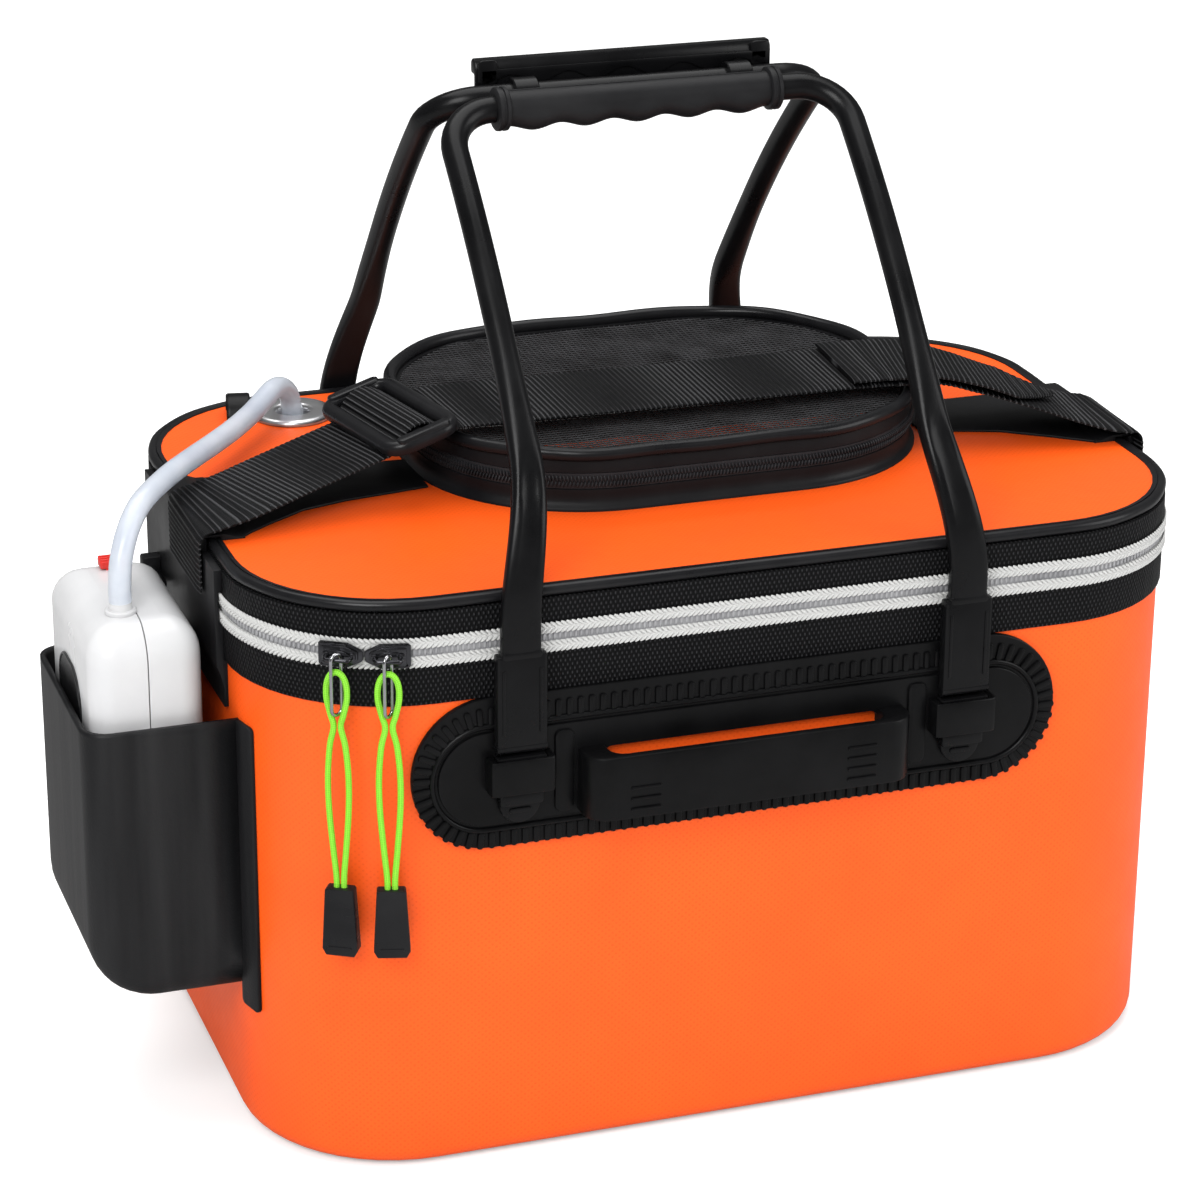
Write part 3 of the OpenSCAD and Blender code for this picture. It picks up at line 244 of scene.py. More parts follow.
def material(name, colour, rough, metal=0.0, specular=0.5, **more):
    """A material with one Principled shader: the material, its tree and the shader's inputs."""
    made = bpy.data.materials.new(name)
    made.use_nodes = True
    shader = made.node_tree.nodes["Principled BSDF"].inputs
    shader["Base Color"].default_value = (*colour, 1)
    shader["Roughness"].default_value = rough
    shader["Metallic"].default_value = metal
    shader["Specular IOR Level"].default_value = specular
    for key, value in more.items():
        shader[key.replace("_", " ")].default_value = value
    return made, made.node_tree, shader


def feed(shader, **sources):
    """Links a socket to each named input of a shader."""
    for key, source in sources.items():
        source.id_data.links.new(source, shader[key.replace("_", " ")])


def raise_by(tree, shader, height, distance):
    """Feeds a height, of this many millimetres, into the shader's normal."""
    bump = put(tree, "Bump", Height=height, Distance=distance * mm, Strength=1.0)
    feed(shader, Normal=bump.outputs["Normal"])


# Grain and soft marks of a moulded or rolled surface: Shade changes slowly, Grain finely
moulded, given, result = effect("moulded surface", [("Grain size", 0.6), ("Mark size", 30.0)],
    ["Shade", "Grain", "Height"])
place = put(moulded, "TexCoord").outputs["Object"]
grain = put(moulded, "TexNoise", Vector=place, Detail=3.0, Scale=sum_of(moulded, "DIVIDE", 1000.0,
    given["Grain size"])).outputs[0]
slow = put(moulded, "TexNoise", Vector=place, Detail=4.0, Roughness=0.6,
    Scale=sum_of(moulded, "DIVIDE", 1000.0, given["Mark size"])).outputs[0]
moulded.links.new(put(moulded, "MapRange", Value=slow, n1=0.3, n2=0.7).outputs[0], result["Shade"])
moulded.links.new(grain, result["Grain"])
moulded.links.new(sum_of(moulded, "MULTIPLY_ADD", slow, 0.4, grain), result["Height"])


def shaded(name, colour, rough, sizes, shades, by, bump, height="Height", **more):
    """A material between two shades, by slow marks or fine grain, with a light relief."""
    made, tree, shader = material(name, colour, rough, **more)
    out = use(tree, moulded, Grain_size=sizes[0], Mark_size=sizes[1])
    feed(shader, Base_Color=mixed(tree, out[by], *shades))
    raise_by(tree, shader, out[height], bump)
    return made, tree, shader, out


hose_finish = shaded("milky hose", (0.72, 0.77, 0.85), 0.28, (3.0, 25.0),
    ((0.62, 0.67, 0.76), (0.80, 0.84, 0.90)), "Shade", 0.05, Transmission_Weight=0.35, IOR=1.4,
    Coat_Weight=0.3, Coat_Roughness=0.15)[0]

hose_line = curve_through(HOSE_ROUTE, 5)
hose = Form().tube(hose_line, 4, 20, start=(1, 0, 0)).piece("hose", hose_finish, "clear_tube", ["hose"])

# ---------------------------------------------------------------- bucket
# Body of orange coated sheet, 3 mm with its foam, round at the floor's edge. The sheet shows a fine
# weave of short dark dashes in upright columns.
BUCKET = (350, 225, 58)
CORNER = (-117, -54.5)
ORANGE, ORANGE_DARK = (1.0, 0.115, 0.010), (0.80, 0.060, 0.003)


def course(length, width, radius, middle=(0, 0), steps=12, straight=8):
    """Points round a rectangle with round corners, each with its outward direction."""
    found = []
    for turn in range(4):
        sx, sy = ((1, 1), (-1, 1), (-1, -1), (1, -1))[turn]
        corner = Vector((middle[0] + sx * (length / 2 - radius), middle[1] + sy * (width / 2 - radius), 0))
        for k in range(steps + 1):
            a = (turn + k / steps) * pi / 2
            out = Vector((cos(a), sin(a), 0))
            found.append((corner + out * radius, out))
        run = (width if turn % 2 else length) - 2 * radius
        along = Vector((-sin(a), cos(a), 0))
        found += [(corner + out * radius + along * run * k / straight, out)
            for k in range(1, straight)] if run > 0.1 else []
    return found


def round_bucket(out=0, **how):
    """Course round the bucket, moved outwards by out."""
    return course(BUCKET[0] + 2 * out, BUCKET[1] + 2 * out, BUCKET[2] + out, **how)


def cloth_of(tree):
    """Distances along and across the cloth, in millimetres."""
    return put(tree, "SeparateXYZ", Vector=put(tree, "UVMap", {"uv_map": "cloth"}).outputs[0]).outputs


# Threads of a plain weave: Height is a thread's relief, Dot marks where one lies on top
weave, given, result = effect("weave", [("U pitch", 1.0), ("V pitch", 1.0), ("Uneven", 0.3)],
    ["Height", "Dot"])
split = cloth_of(weave)
stray = put(weave, "TexNoise", Vector=put(weave, "UVMap", {"uv_map": "cloth"}).outputs[0], Scale=0.35,
    Detail=2.0).outputs[0]
stray = sum_of(weave, "MULTIPLY", sum_of(weave, "SUBTRACT", stray, 0.5), given["Uneven"])
waves = []
for axis, pitch in ((0, "U pitch"), (1, "V pitch")):
    turn = sum_of(weave, "ADD", sum_of(weave, "DIVIDE", split[axis], given[pitch]), stray)
    waves.append(sum_of(weave, "COSINE", sum_of(weave, "MULTIPLY", turn, 2 * pi)))
both = sum_of(weave, "MULTIPLY_ADD", sum_of(weave, "MULTIPLY", waves[0], waves[1]), 0.5, 0.5)
weave.links.new(both, result["Height"])
weave.links.new(put(weave, "MapRange", {"interpolation_type": "SMOOTHSTEP"}, Value=both, n1=0.62,
    n2=0.95).outputs[0], result["Dot"])

sheet_finish, tree, shader = material("orange sheet", ORANGE, 0.42, specular=0.22)
out = use(tree, weave, U_pitch=2.4, V_pitch=2.6, Uneven=0.25)
wear = use(tree, moulded, Grain_size=1.4, Mark_size=45.0)
base = mixed(tree, wear["Shade"], ORANGE, (0.95, 0.100, 0.008))
dash = sum_of(tree, "MULTIPLY", out["Dot"], sum_of(tree, "MULTIPLY_ADD", wear["Grain"], 0.5, 0.15))
dashed = mixed(tree, dash, base, ORANGE_DARK)
# Light that bounces off the sheet is greyer, so that the black pieces near it don't turn red
rays = put(tree, "LightPath").outputs
bounced = sum_of(tree, "MAXIMUM", rays["Is Glossy Ray"], rays["Is Diffuse Ray"])
feed(shader, Base_Color=mixed(tree, sum_of(tree, "MULTIPLY", bounced, 0.75), dashed, (0.16, 0.11, 0.09)))
feed(shader, Roughness=sum_of(tree, "MULTIPLY_ADD", wear["Shade"], 0.12, 0.34))
raise_by(tree, shader, sum_of(tree, "MULTIPLY_ADD", out["Height"], 0.3,
    sum_of(tree, "MULTIPLY", wear["Shade"], 2.5)), 0.06)

body = Form()
turned = [(-7 * (1 - sin(a)), 7 * (1 - cos(a))) for a in (pi / 16 * k for k in range(9))]
inside = [(-3 - 4 * (1 - sin(a)), 3 + 4 * (1 - cos(a))) for a in (pi / 8 * k for k in range(5))]
body.wrap(round_bucket(), [(-50, 0)] + turned + [(0, z) for z in range(14, 184, 10)] + [(0, 184), (-3, 184)]
    + inside[::-1] + [(-50, 3)], ends=True)
body.piece("bucket_body", sheet_finish, "orange_sheet", ["floor_tray", "bucket_wall"])

# ---------------------------------------------------------------- zipper tapes
# Two bands of ribbed black woven tape, sewn round the top of the wall and under the lid's edge. Fine
# glints run along them in rows, painted as a lighter grey on the tops of the threads.
tape_finish, tree, shader = material("woven tape", (0.004, 0.004, 0.005), 0.55, specular=0.12)
out = use(tree, weave, U_pitch=3.2, V_pitch=1.7, Uneven=0.15)
wear = use(tree, moulded, Grain_size=0.5, Mark_size=20.0)
# Painted highlights: the tops of the threads are coloured a lighter grey as the tape's glints
feed(shader, Base_Color=mixed(tree, out["Dot"], (0.003, 0.003, 0.0035), (0.028, 0.028, 0.030)))
feed(shader, Roughness=sum_of(tree, "MULTIPLY_ADD", wear["Grain"], 0.3, 0.38))
raise_by(tree, shader, sum_of(tree, "MULTIPLY_ADD", wear["Grain"], 0.3, out["Height"]), 0.35)

for name, node, z0, z1, wall_top in (("lower_tape", "lower_zip_tape", 178, 193, 184),
        ("upper_tape", "upper_zip_tape", 202, 211.6, 202)):
    Form().wrap(round_bucket(), [(0, z0), (0.9, z0), (1.2, z0 + 0.4), (1.25, (z0 + z1) / 2),
        (1.2, z1 - 0.4), (0.8, z1), (-3, z1), (-3, wall_top), (0, wall_top)], loop=True).piece(name,
        tape_finish, "woven_tape", [node])

# ---------------------------------------------------------------- zipper rows
# White braided beads on each side of the slit, worked in chevron stitches over a cord core. They run
# all the way round, under the smooth patches at both ends.
ROWS = (194.1, 200.9)
row_finish = shaded("white braid", (0.62, 0.62, 0.61), 0.55, (0.4, 18.0),
    ((0.42, 0.42, 0.41), (0.66, 0.66, 0.65)), "Grain", 0.10, "Grain", specular=0.25)[0]


def spaced(line, pitch, offset=0.0):
    """Places at an even pitch round a closed course, with the way along and the way out."""
    run = distances([p for p, out in line], True)
    count = round(run[-1] / pitch)
    found, i = [], 0
    for k in range(count):
        s = (k + offset) * run[-1] / count
        while i < len(line) - 1 and run[i + 1] < s:
            i += 1
        (a, out_a), (b, out_b) = line[i], line[(i + 1) % len(line)]
        t = (s - run[i]) / (run[i + 1] - run[i])
        out = out_a.lerp(out_b, t).normalized()
        found.append((a.lerp(b, t), Vector((-out.y, out.x, 0)), out))
    return found


def stood(p, along, out, tilt=0.0):
    """Matrix whose X runs along the course, Y outwards and Z up, tilted about Y."""
    turn = Matrix((along, out, Vector((0, 0, 1)))).transposed().to_4x4()
    return Matrix.Translation(p) @ turn @ Matrix.Rotation(radians(tilt), 4, "Y")


# The stitches, teeth, coils and ribs are spaced at their pitch times coarse
coarse = 1
STITCH = 1.9
for name, node, z in zip(("lower_row", "upper_row"), ("lower_zip_row", "upper_zip_row"), ROWS):
    row = Form().tube([p + Vector((0, 0, z)) for p, out in round_bucket(0.1, steps=24)], 1.75, 12, loop=True)
    stitch = Form().bead((1.75, 0.62, 0.66), 6, 4)
    for k, tilt in ((0, 38), (1, -38)):
        for p, along, out in spaced(round_bucket(0.1 + 1.6, steps=24), STITCH * coarse):
            row.add(stitch, stood(p + Vector((0, 0, z + (1.05 if k == 0 else -1.05))), along, out, tilt))
    row.piece(name, row_finish, "white_row", [node])

# ---------------------------------------------------------------- zipper teeth
# Fine grey moulded teeth that close the slit between the two braided rows.
def moulding(name, dark, light, rough, rougher, grain_size=0.6, bump=0.02, specular=0.2, coat=0.0):
    """Moulded plastic, rubber or smooth sheet: two close shades, uneven gloss and a fine grain."""
    made, tree, shader = material(name, dark, rough, specular=specular, Coat_Weight=coat, Coat_Roughness=0.2)
    out = use(tree, moulded, Grain_size=grain_size)
    feed(shader, Base_Color=mixed(tree, out["Shade"], dark, light))
    feed(shader, Roughness=put(tree, "MapRange", Value=out["Shade"], n3=rough, n4=rougher).outputs[0])
    raise_by(tree, shader, out["Height"], bump)
    return made


teeth_finish = moulding("zip teeth", (0.22, 0.22, 0.23), (0.42, 0.42, 0.43), 0.32, 0.5, 0.8, 0.03)
SLIT_Z = 197.5
teeth = Form().wrap(round_bucket(), [(-2, 194.5), (0.6, 195.4), (0.6, 199.6), (-2, 200.5)], loop=True)
tooth = Form().bead((0.62, 0.55, 1.5), 6, 4)
for p, along, out in spaced(round_bucket(0.8, steps=24), STITCH * coarse):
    teeth.add(tooth, stood(p + Vector((0, 0, SLIT_Z)), along, out))
teeth.piece("teeth", teeth_finish, "silver_teeth", ["zip_teeth"])

# ---------------------------------------------------------------- lid
# Sheet of the same orange cloth, cut out for the hatch and for the grommet, and sewn into the piping.
HATCH = (190, 152, 62)
HATCH_AT = (8.5, 28)
GROMMET_AT = (-114, 88)


def round_hatch(out=0, **how):
    """Course round the hatch, moved outwards by out."""
    return course(HATCH[0] + 2 * out, HATCH[1] + 2 * out, HATCH[2] + out, HATCH_AT, **how)


def mitred(outline):
    """The points of any outline, run counterclockwise, each with its outward direction."""
    p = [Vector((*point, 0)) for point in outline]
    found = []
    for before, here, after in zip([p[-1]] + p[:-1], p, p[1:] + p[:1]):
        a, b = (here - before).normalized(), (after - here).normalized()
        out = Vector((a.y + b.y, -a.x - b.x, 0))
        found.append((here, out / max(out.length_squared / 2, 0.3)))
    return found


def ring_outline(radius, middle=(0, 0), sides=32):
    """Outline of a circle."""
    return [(middle[0] + radius * cos(a), middle[1] + radius * sin(a)) for a in around(sides)]


lid = Form()
lid_edge, hatch_edge, eye = round_bucket(-0.8), round_hatch(-2), mitred(ring_outline(7.5, GROMMET_AT))
for z in (212.5, 215):
    lid.sheet([[p for p, out in line] for line in (lid_edge, hatch_edge, eye)], z)
for line in (lid_edge, hatch_edge, eye):
    lid.wrap(line, [(0, 212.5), (0, 215)])
lid.piece("lid_sheet", sheet_finish, "orange_sheet", ["lid_panel"])

# ---------------------------------------------------------------- lid piping
# Glossy black piping with a cord inside, sewn round the lid's edge, with the sewing tape's turned lip
# lying on the lid beside it.
trim_finish = moulding("black trim", (0.006, 0.006, 0.007), (0.012, 0.012, 0.013), 0.24, 0.36, 0.9, 0.03,
    coat=0.15)
piping = Form()
wavy = [p + Vector((0, 0, 213.8)) + out * 0.12 * sin(k * 0.9)
    for k, (p, out) in enumerate(round_bucket(-0.8, steps=24, straight=24))]
piping.tube(wavy, 2.0, 14, loop=True)
piping.wrap(round_bucket(-0.8), [(-1.2, 214.2), (-1.2, 215.7), (-2.9, 215.4), (-3.0, 215.0), (-3.0, 214.2)])
piping.piece("piping", trim_finish, "black_sheet", ["lid_piping"])

# ---------------------------------------------------------------- hatch collar
# Standing collar of black sheet with a flared foot welded to the lid. A coil zipper on woven tape runs
# round its middle.
satin_finish = moulding("satin black sheet", (0.006, 0.006, 0.007), (0.011, 0.011, 0.012), 0.36, 0.5, 1.2,
    0.04)
collar = Form().wrap(round_hatch(steps=16), [(-4, 213), (-4, 234.4), (-2.6, 234.5), (-0.2, 234.3), (0, 233),
    (0.35, 230.6), (0.35, 229.2), (-0.3, 228.9), (-0.3, 223.1), (0.35, 222.8), (0.35, 221.4), (0.1, 220.6),
    (0.2, 218.6), (0.8, 216.9), (1.7, 216.3), (2.0, 215.8), (2, 215), (-2, 215), (-2, 213)], loop=True)
collar.piece("collar", satin_finish, "black_sheet", ["hatch_collar"])

# ---------------------------------------------------------------- hatch zipper
# Two rows of fine black coil, meshed in the middle, on a narrow woven tape.
coil_finish = moulding("nylon coil", (0.016, 0.016, 0.018), (0.035, 0.035, 0.038), 0.3, 0.4, 0.5, 0.02)
coil = Form()
turn_of_coil = Form().bead((0.42, 1.0, 1.25), 6, 4)
for k, z in ((0, 227.0), (0.5, 224.9)):
    for p, along, out in spaced(round_hatch(0.5, steps=24), 1.3 * coarse, k):
        coil.add(turn_of_coil, stood(p + Vector((0, 0, z)), along, out, 14 if k else -14))
coil.wrap(round_hatch(), [(-0.8, 222.9), (0.15, 223.2), (0.15, 228.8), (-0.8, 229.1)], loop=True)
coil.piece("hatch_coil", coil_finish, "hatch_zip", ["hatch_zip_coil"])

# ---------------------------------------------------------------- hatch piping
# Round glossy piping along the collar's top edge.
top_piping = Form().tube([p + Vector((0, 0, 236 + 0.25 * sin(k * 0.55)))
    for k, (p, out) in enumerate(round_hatch(-0.5, steps=24, straight=16))], 2.45, 14, loop=True)
top_piping.piece("hatch_piping_cord", trim_finish, "black_sheet", ["hatch_piping"])

# ---------------------------------------------------------------- hatch net
# Fine knitted net stretched across the hatch. It sags a little in the middle and waves at the edge.
NET_PITCH = 2.2
net_finish = shaded("black net", (0.06, 0.06, 0.062), 0.36, (0.4, 12.0),
    ((0.018, 0.018, 0.019), (0.05, 0.05, 0.053)), "Shade", 0.05, "Grain", specular=0.6)[0]
NET_X, NET_Y, NET_R = 33, 14, 59.2
wide, deep = int((NET_X + NET_R) / NET_PITCH) + 1, int((NET_Y + NET_R) / NET_PITCH) + 1
made = bmesh.new()
knots = {}
for i in range(-wide, wide + 1):
    for j in range(-deep, deep + 1):
        x, y = i * NET_PITCH, j * NET_PITCH
        cx, cy = max(abs(x) - NET_X, 0), max(abs(y) - NET_Y, 0)
        reach = hypot(cx, cy)
        if reach > NET_R + NET_PITCH * 0.8:
            continue
        if reach > NET_R:
            x, y = (copysign(min(abs(x), NET_X) + cx * NET_R / reach, x),
                copysign(min(abs(y), NET_Y) + cy * NET_R / reach, y))
            reach = NET_R
        sag = 0.9 * (1 - (reach / NET_R) ** 2) + 0.5 * noise.noise(Vector((x, y, 3)) / 22)
        knots[i, j] = made.verts.new(((HATCH_AT[0] + x) * mm, (HATCH_AT[1] + y) * mm, (234.0 - sag) * mm))
for i, j in knots:
    square = [knots.get(key) for key in ((i, j), (i + 1, j), (i + 1, j + 1), (i, j + 1))]
    if all(square):
        made.faces.new(square)
mesh = bpy.data.meshes.new("net")
made.to_mesh(mesh)
made.free()
mesh.materials.append(net_finish)
net = bpy.data.objects.new("net", mesh)
bpy.context.scene.collection.objects.link(net)
strands = net.modifiers.new("strands", "WIREFRAME")
strands.thickness = 0.6 * mm
strands.use_even_offset = False
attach(net, "bucket")
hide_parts("hatch_net")

# ---------------------------------------------------------------- hatch slider
# Dark plated slider of the hatch's zipper, on the long straight at the back, with a small hanging tab.
def box_outline(width, height, radius, middle=(0, 0), steps=4):
    """Outline of a rectangle with round corners."""
    return [(p.x, p.y) for p, out in course(width, height, radius, middle, steps, 1)]


def at(x=0, y=0, z=0, rx=0, ry=0, rz=0):
    """Place and turn, in millimetres and degrees: about X first, Z last."""
    turn = Matrix.Identity(4)
    for angle, axis in ((rz, "Z"), (ry, "Y"), (rx, "X")):
        turn = turn @ Matrix.Rotation(radians(angle), 4, axis)
    return Matrix.Translation((x, y, z)) @ turn


def plated(name, colour, worn, rough, bump=0.015):
    """Metal with slightly uneven colour and gloss."""
    made, tree, shader = material(name, colour, rough, metal=1.0)
    out = use(tree, moulded, Grain_size=0.5, Mark_size=9.0)
    feed(shader, Base_Color=mixed(tree, out["Shade"], colour, worn))
    feed(shader, Roughness=sum_of(tree, "MULTIPLY_ADD", out["Grain"], 0.14, rough - 0.05))
    raise_by(tree, shader, out["Height"], bump)
    return made


gunmetal = plated("gunmetal", (0.06, 0.06, 0.065), (0.11, 0.11, 0.12), 0.22)
small = Form().solid([(-7, -3.5), (3, -3.5), (7, -1.5), (7, 1.5), (3, 3.5), (-7, 3.5)], 0, 2.2, 0.7)
small.solid(box_outline(6, 2, 0.8, (1, 0)), 2.1, 3.9, 0.5)
small.solid(box_outline(3, 11, 1.4, (1, -3.5)), 3.8, 5.2, 0.5)
Form().add(small, at(30.5, 106.6, 226, rx=90, rz=180)).piece("hatch_zip_slider", gunmetal, "gunmetal",
    ["hatch_slider"], "hatch_slider")

# ---------------------------------------------------------------- handle plates
# Moulded black rubber plates welded to the front and the back: a long panel with a window, a grab bar
# on two posts, a bridge over each handle's foot and low pads beside the bridges.
rubber = moulding("black rubber", (0.002, 0.002, 0.0022), (0.005, 0.005, 0.0055), 0.28, 0.4, 0.8, 0.03, 0.2)
# The handles' legs stand LEG_X to each side of MIDDLE_X
LEG_X, MIDDLE_X = 82, -7


def framed(outer, inner, height, top):
    """Raised flat shape with a hole: walls up to a height, softened outer edge, flat top."""
    form = Form().wrap(outer, [(0, height), (0, top - 0.4), (-0.12, top - 0.12), (-0.4, top)])
    form.sheet([[p - out * 0.4 for p, out in outer], [p for p, out in inner]], top)
    return form


plate_edge, panel_edge, window_edge = (mitred(box_outline(*box))
    for box in ((239, 56, 28, (0, 0), 14), (221, 34.6, 17.3, (0, -1.7), 12), (102, 24, 3, (0, -7), 4)))
plate = framed(plate_edge, panel_edge, 0, 2)
plate.add(framed(panel_edge, window_edge, 2, 3))
plate.wrap(window_edge, [(0, 3), (0, 0)])
BAR = [(60.5, 2.6), (60.5, 8)] + [(51.5 + 9 * cos(a), 7 + 9 * sin(a))
    for a in (pi / 12 * k for k in range(1, 7))]
BAR = BAR + [(-x, y) for x, y in BAR[::-1]]
HOLLOW = [(50.5, 2.6), (50.5, 7)] + [(45.5 + 5 * cos(a), 7 + 5 * sin(a))
    for a in (pi / 8 * k for k in range(1, 5))]
BAR += [(-x, y) for x, y in HOLLOW] + HOLLOW[::-1]
plate.add(Form().solid(BAR, -6, 18, 1.3), at(rx=90))
for side in (-1, 1):
    for k in range(4 if side > 0 else 3):
        plate.solid(box_outline(11, 1.1, 0.5, (side * 40, -14 + 4 * k)), 15.8, 16.7, 0.4, False)
    bridge = [(11.75, 2.8), (11.75, 8), (11.2, 9.4), (9.8, 10), (-9.8, 10), (-11.2, 9.4), (-11.75, 8),
        (-11.75, 2.8), (-9, 2.8), (-9, 8.4), (9, 8.4), (9, 2.8)]
    plate.add(Form().solid(bridge, -7, 6, 0.8), at(side * LEG_X, rx=90))
    plate.solid(box_outline(7, 30.6, 2.5, (side * 65.5, -1.7)), 2.8, 4.2, 0.7, False)
FACES = (("front", at(MIDDLE_X, -112.5, 150, rx=90)), ("back", at(MIDDLE_X, 112.5, 150, rx=90, rz=180)))
for side, place in FACES:
    Form().add(plate, place).piece(f"{side}_plate_moulding", rubber, "plate_rubber", [f"{side}_plate"])

# ---------------------------------------------------------------- plate rims
# Crimped rim of each plate: a rounded bead with short ribs that run outwards from it all the way round.
rim = Form().wrap(course(225, 38.6, 19.3, (0, -1.7), 14, 2), [(1, 2), (1, 2.5), (0.5, 3.1), (0, 3.25),
    (-0.5, 3.1), (-1, 2.5), (-1, 2)], loop=True)
rib = Form().solid(box_outline(6.4, 2.3, 0.9, (0, 0), 2), 1.9, 2.95, 0.75, False)
for p, along, out in spaced(course(232.6, 46.2, 23.1, (0, -1.7), 14, 2), 4.0):
    rim.add(rib, stood(p, along, out) @ at(rz=90))
for side, place in FACES:
    Form().add(rim, place).piece(f"{side}_rim", rubber, "plate_rubber", [f"{side}_plate_rim"])

# ---------------------------------------------------------------- handle feet
# Blocks that the handles are buckled into, under the bridges, each with a half-round tab below it.
plastic = moulding("black plastic", (0.003, 0.003, 0.0034), (0.006, 0.006, 0.0066), 0.24, 0.36, 0.7, 0.02,
    0.22)
feet = Form()
for side in (-1, 1):
    feet.solid(box_outline(17.8, 13.4, 0.8, (side * LEG_X, 0.85)), 3, 8.3, 0.5)
    feet.solid(box_outline(16, 5.4, 1.2, (side * LEG_X, -8.4)), 3, 7.7, 1.1)
    tab = [(side * LEG_X + 7.5 * cos(a), -10.6 + 7.8 * sin(a))
        for a in (pi * (1 + k / 12) for k in range(13))]
    feet.solid(tab, 3, 5.4, 0.7, False)
    feet.solid(box_outline(8, 2, 0.9, (side * LEG_X, -13.4)), 5.3, 6.1, 0.4, False)
for side, place in FACES:
    Form().add(feet, place).piece(f"{side}_feet", plastic, "handle_plastic", [f"{side}_handle_feet"])

# ---------------------------------------------------------------- handles
# Two moulded loops. Each leg starts as a flat strap that turns in its foot, steps in, arches over the lid
# with a groove down its outer face, and becomes a round tube along the top.
LEG_Y, PIVOT, STEP = 118.4, 161, 195
ARCH_Z, ARCH_R, ARCH_A, BEND = 203, 83, radians(34.5), 17
ARCH_Y1, ARCH_Z1 = LEG_Y - ARCH_R * (1 - cos(ARCH_A)), ARCH_Z + ARCH_R * sin(ARCH_A)
END_A = 2 * atan2(ARCH_Y1 - 7.5, 353 - ARCH_Z1) - ARCH_A
END_R = hypot(ARCH_Y1 - 7.5, 353 - ARCH_Z1) / (2 * sin((END_A - ARCH_A) / 2))
RUNS = (ARCH_Z - STEP, ARCH_R * ARCH_A, END_R * (END_A - ARCH_A) - BEND)
LEG = sum(RUNS)


def ease(t):
    """Smooth step from 0 to 1."""
    t = min(1, max(0, t))
    return t * t * (3 - 2 * t)


def leg_side(s):
    """How far out and up a leg's middle lies at a distance above its step, and how far it leans."""
    if s < RUNS[0]:
        return LEG_Y, STEP + s, 0
    if s < RUNS[0] + RUNS[1]:
        a = (s - RUNS[0]) / ARCH_R
        return LEG_Y - ARCH_R * (1 - cos(a)), ARCH_Z + ARCH_R * sin(a), a
    a = ARCH_A + (s - RUNS[0] - RUNS[1]) / END_R
    return (ARCH_Y1 - END_R * (cos(ARCH_A) - cos(a)), ARCH_Z1 + END_R * (sin(a) - sin(ARCH_A)), a)


def leg_ring(s, sides=28):
    """One ring of the left leg."""
    y, z, lean = leg_side(s)
    turn, inward = ease((s - RUNS[0]) / (LEG * 0.55)), ease((s - RUNS[0]) / 60)
    half_w, half_t = 7 + (4.75 - 7) * turn, 2.5 + 2.25 * turn
    power = 2 / (4.5 - 2.5 * turn)
    groove = 1.3 * ease((s - 22) / 12) * (1 - ease((s - 46) / 26))
    ring = []
    for a in around(sides):
        u = copysign(abs(cos(a)) ** power, cos(a)) * half_w
        v = copysign(abs(sin(a)) ** power, sin(a)) * half_t
        v += groove if sin(a) < -0.9 and abs(u) < 2.6 else 0
        ring.append((-(LEG_X + (74 - LEG_X) * inward) + u, -y + v * cos(lean), z - v * sin(lean)))
    return ring


def bend_ring(a, sides=28):
    """One ring of the bend from the left leg into the top tube."""
    y, z, lean = leg_side(LEG)
    up, inner = Vector((0, sin(lean), cos(lean))), Vector((0, cos(lean), -sin(lean)))
    radial = Vector((-cos(a), 0, 0)) + up * sin(a)
    centre = Vector((BEND - 74, -y, z))
    return [centre + radial * BEND + 4.75 * (-radial * cos(b) + inner * sin(b)) for b in around(sides)]


half = [leg_ring(LEG * k / 44) for k in range(45)] + [bend_ring(pi / 2 * k / 10) for k in range(1, 11)]
loop = Form().grid(half + [[(-p[0], p[1], p[2]) for p in ring] for ring in half[::-1]], ring=True, ends=True)
straps = Form()
for side in (-1, 1):
    strap = Form().solid(box_outline(18, STEP - PIVOT, 0.9, (side * LEG_X, (STEP - PIVOT) / 2), 2), -2.5,
        2.5, 1.0)
    strap.tube([(side * LEG_X - 8.9, 0, 0), (side * LEG_X + 8.9, 0, 0)], 2.5, 16)
    strap.solid(box_outline(14.6, 3.4, 1.2, (side * LEG_X, STEP - PIVOT - 0.3), 3), -2.7, 2.7, 1.0)
    for edge in (-6.6, 6.6):
        strap.solid(box_outline(1.2, 24, 0.5, (side * LEG_X + edge, 17), 2), 2.3, 2.9, 0.3, False)
    straps.add(strap, at(0, -LEG_Y, PIVOT, rx=90))
for side, place in (("front", at(MIDDLE_X)), ("back", at(MIDDLE_X, rz=180))):
    Form().add(loop, place).piece(f"{side}_loop", plastic, "handle_plastic", [f"{side}_handle_loop"],
        f"{side}_handle", sharp=50)
    Form().add(straps, place).piece(f"{side}_straps", plastic, "handle_plastic", [f"{side}_handle_straps"],
        f"{side}_handle")

# ---------------------------------------------------------------- grip
# Rubber sleeve on the front tube, smooth above and with finger waves below, between two stepped rings.
TUBE_Y, TUBE_Z = 7.695, 353.235
grip_finish = moulding("grip rubber", (0.008, 0.008, 0.009), (0.014, 0.014, 0.015), 0.38, 0.5, 0.5, 0.04, 0.2)
rows = []
for k in range(121):
    x = (k / 120 - 0.5) * 97
    swell = 1.9 * (1 - cos(k / 120 * 10 * pi)) / 2
    rows.append([(x, (6.3 + swell * max(0, -sin(b)) ** 0.6) * cos(b),
        (6.3 + swell * max(0, -sin(b)) ** 0.6) * sin(b)) for b in around(32)])
sleeve = Form().grid(rows, ring=True, ends=True)
sleeve.solid(box_outline(94, 0.8, 0.3), 6.2, 6.55, 0.2, False)
Form().add(sleeve, at(-10, -TUBE_Y, TUBE_Z)).piece("grip", grip_finish, "grip_rubber", ["grip_sleeve"],
    "front_handle", sharp=60)
collars = Form()
